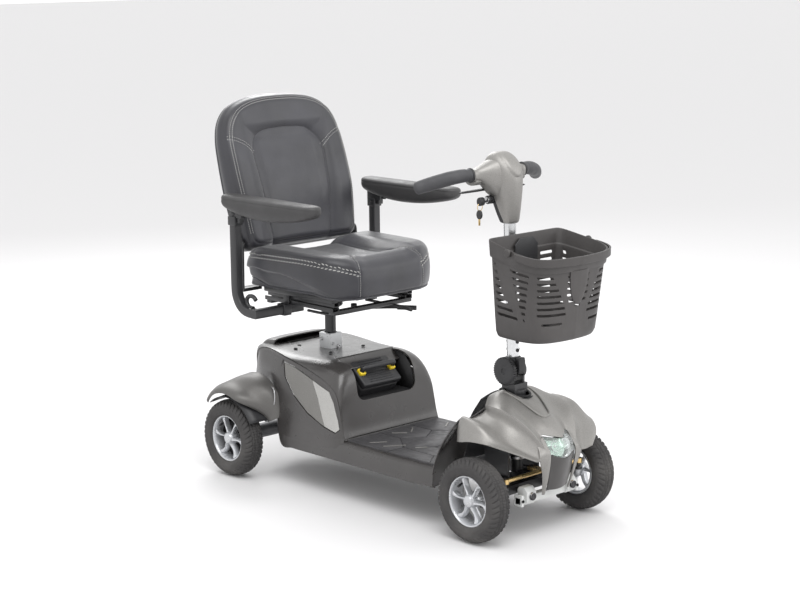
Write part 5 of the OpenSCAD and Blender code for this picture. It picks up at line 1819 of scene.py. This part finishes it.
def add_under_seat():
    """Slide rails, cross members, receivers, levers and the seat post with its two discs."""
    fixed, moving = [], []
    for side in (1, -1):
        low, high = span(141, 163, side)
        fixed.append(channel("rail", -440, -150, 138 * side, 503, 26, 12))
        moving.append(channel("runner", -430, -146, 138 * side, 517, 20, 12))
        moving.append(solid_box("beam", (-430, low, 530), (-138, high, 545), 3))
        low, high = span(150, 176, side)
        receiver = extruded("receiver", [(-356, 474), (-324, 474), (-324, 506), (-356, 506)], low, high)
        low, high = span(140, 220, side)
        cut(receiver, extruded("bore", [(-353, 477), (-327, 477), (-327, 503), (-353, 503)], low, high))
        moving.append(bevelled(receiver, 1.0, 2))
        low, high = span(152, 157, side)
        moving.append(solid_box("hanger", (-352, low, 500), (-328, high, 540), 1.2))
        low, high = span(150, 216, side)
        moving.append(solid_box("ear_foot", (-486, low, 531), (-452, high, 541), 2))
        low, high = span(211.5, 216.5, side)
        ear = [(-486, 531), (-454, 531), (-452, 650)]
        ear += [(-470 + 17 * math.cos(a),
                 664 + 17 * math.sin(a)) for a in [math.pi * k / 12 for k in range(13)]]
        moving.append(bevelled(extruded("ear", ear, low, high), 1.2, 2))
        moving.append(bolt("ear_bolt", (-470, 217 * side, 664), (0, side, 0), 9, 4))
        moving.append(bolt("ear_bolt", (-470, 217 * side, 560), (0, side, 0), 6, 4))
    for x in (-424, -258, -162):
        moving.append(solid_box("cross", (x, -150, 531), (x + 22, 150, 541), 2))
    for x in (-436, -170):
        fixed.append(solid_box("bearer", (x, -148, 494), (x + 22, 148, 506), 2.5))
    pan = bevelled(extruded("pan",
                            [(-428, -163), (-120, -163), (-104, -120), (-104, 120), (-120, 163), (-428, 163)],
                            548, 552.5, "z"), 1)
    moving.append(pan)
    finished(joined("seat_runners_looks", moving), "frame_steel", "seat", ["seat_pan"])
    finished(joined("slide_rails_looks", fixed), "frame_steel", "swivel", ["swivel_base"])
    discs = [lathe("disc",
                   [(0, 0.01), (0, 30), (1, 34), (4, 36.5), (8, 36.5), (11, 34), (12, 30), (12, 0.01)],
                   facing((POST_X, 0, 478), (0, 0, 1)), 72),
             lathe("hub", [(0, 0.01), (0, 34), (2, 36), (8, 36), (10, 30), (14, 28), (14, 0.01)],
                   facing((POST_X, 0, 488), (0, 0, 1)), 64)]
    finished(joined("swivel_discs_looks", discs), "frame_steel", "swivel")
    post = lathe("post", [(-100, 0.01), (-100, 12), (50, 12), (52, 16), (104, 16), (104.5, 21), (106, 24),
                          (109, 25.5), (113, 25.5),
                          (116, 24), (117.5, 21), (118, 17), (124, 17), (124, 0.01)],
                 facing((POST_X, 0, 352), (0, 0, 1)), 72)
    finished(crisp(post), "frame_steel", "seat_post", ["seat_post"])
    lever = smooth_curve([mm(*p) for p in ((-286, 50, 471), (-250, 84, 471), (-205, 128, 472),
                                           (-154, 172, 471))], 40)
    arm = tube("lever", lever, 4, 8)
    sleeve = tube("sleeve", lever[27:], 7, 10)
    boss = lathe("boss", [(-4, 0.01), (-4, 9), (12, 9), (13, 8), (13, 0.01)],
                 facing((-286, 50, 470), (0, 0, 1)), 32)
    finished(joined("swivel_lever_looks", [arm, sleeve, boss]), "black_plastic", "swivel_lever",
             ["swivel_lever"])
    bail = smooth_curve([mm(x, y, 484) for x,
                         y in ((-300, -110), (-240, -110), (-214, -106), (-200, -88), (-200, 0),
                                                   (-200, 88), (-214, 106), (-240, 110), (-300, 110))], 100)
    rods = [tube("bail", bail, 4, 8)]
    tip = [mm(*p) for p in ((-200, 84, 484), (-150, 84, 492), (-96, 84, 490), (-84, 84, 487))]
    rods.append(tube("rod", smooth_curve(tip, 40), 3.6, 8))
    for k in range(16):
        ring = [mm(-120 + 2.4 * k, 84 + 4.8 * math.cos(a), 491 - 0.2 * k + 4.8 * math.sin(a))
                for a in turns(20)]
        rods.append(tube("thread", ring, 0.9, 3, closed=True))
    finished(joined("slide_bail_looks", rods), "frame_steel", "slide_lever", ["slide_lever"])
    for word, side in SIDES.items():
        line = [(-362, 502), (-380, 504), (-390, 514), (-388, 527), (-376, 535), (-360, 534), (-350, 526)]
        hook = smooth_curve([mm(x, (ARM_Y - 6) * side, z) for x, z in line], 40)
        finished(tube(f"arm_hook_{word}_looks", hook, 6, 8), "frame_steel", f"arm_{word}")


def add_seat_socket():
    """Square silver socket for the seat post, with clamp bolts low on its faces."""
    outer = [(-356, -24), (-308, -24), (-308, 24), (-356, 24)]
    block = bevelled(extruded("block", outer, 345, 402, "z"), 4, 4)
    bore = extruded("bore", oval(POST_X, 0, 18.5, 18.5, 64), 340, 420, "z")
    cut(block, bore)
    parts = [crisp(bevelled(block, 0.8, 2, 40))]
    finished(joined("socket_looks", parts), "silver_paint", "chassis", ["seat_socket"])
    bolts = [bolt("socket_bolt", (-307.8, 8, 362), (1, 0, 0), 6, 4),
             bolt("socket_bolt", (-307.8, -12, 372), (1, 0, 0), 4.5, 3),
             bolt("socket_bolt", (-343, -24.2, 384), (0, -1, 0), 5.5, 3.4),
             bolt("socket_bolt", (-343, 24.2, 384), (0, 1, 0), 5.5, 3.4)]
    finished(joined("socket_bolts_looks", bolts), "bare_steel", "chassis")


def add_battery():
    """Battery in its bay: rounded case, ribbed lid, two handle brackets and a carrying bar."""
    tilt = Matrix.Translation(mm(BATTERY_FOOT[0], 0, BATTERY_FOOT[1])) @ Matrix.Rotation(
        BATTERY_TILT, 4, "Y")
    case = solid_box("case", (-43, -70, 0), (43, 70, 168), 7, 4)
    lid = solid_box("lid", (-44, -71, 168), (44, 71, 190), 6, 4)
    ribs = [solid_box("rib", (-38 + 8 * k, -44, 188), (-35 + 8 * k, 44, 192), 0.8) for k in range(10)]
    grip = smooth_curve([mm(0, y, z) for y,
                         z in ((-56, 188), (-57, 204), (-50, 212), (0, 213), (50, 212), (57, 204),
                                                (56, 188))], 60)
    body = joined("battery", [case, lid, tube("handle", grip, 7.5, 10)] + ribs)
    body.data.transform(tilt)
    finished(crisp(body), "black_plastic", "battery", ["battery_case"])
    corners = []
    for side in (1, -1):
        low, high = span(46, 66, side)
        corners.append(solid_box("corner", (-11, low, 186), (11, high, 199), 3.5, 3))
    marks = joined("battery_corners_looks", corners)
    marks.data.transform(tilt)
    finished(marks, "yellow_plastic", "battery")


dress_cad_nodes()
add_wheels()
add_back_cushion()
add_seat_cushion()
add_body_cover()
add_rear_fenders()
add_deck()
add_front_shroud()
add_headlamp()
add_nose()
add_bumper()
add_tilt_joint()
add_tiller_head()
add_grips()
add_handlebar()
add_key()
add_basket()
add_basket_handle()
add_armrests()
add_under_seat()
add_seat_socket()
add_battery()
add_camera()
add_studio()
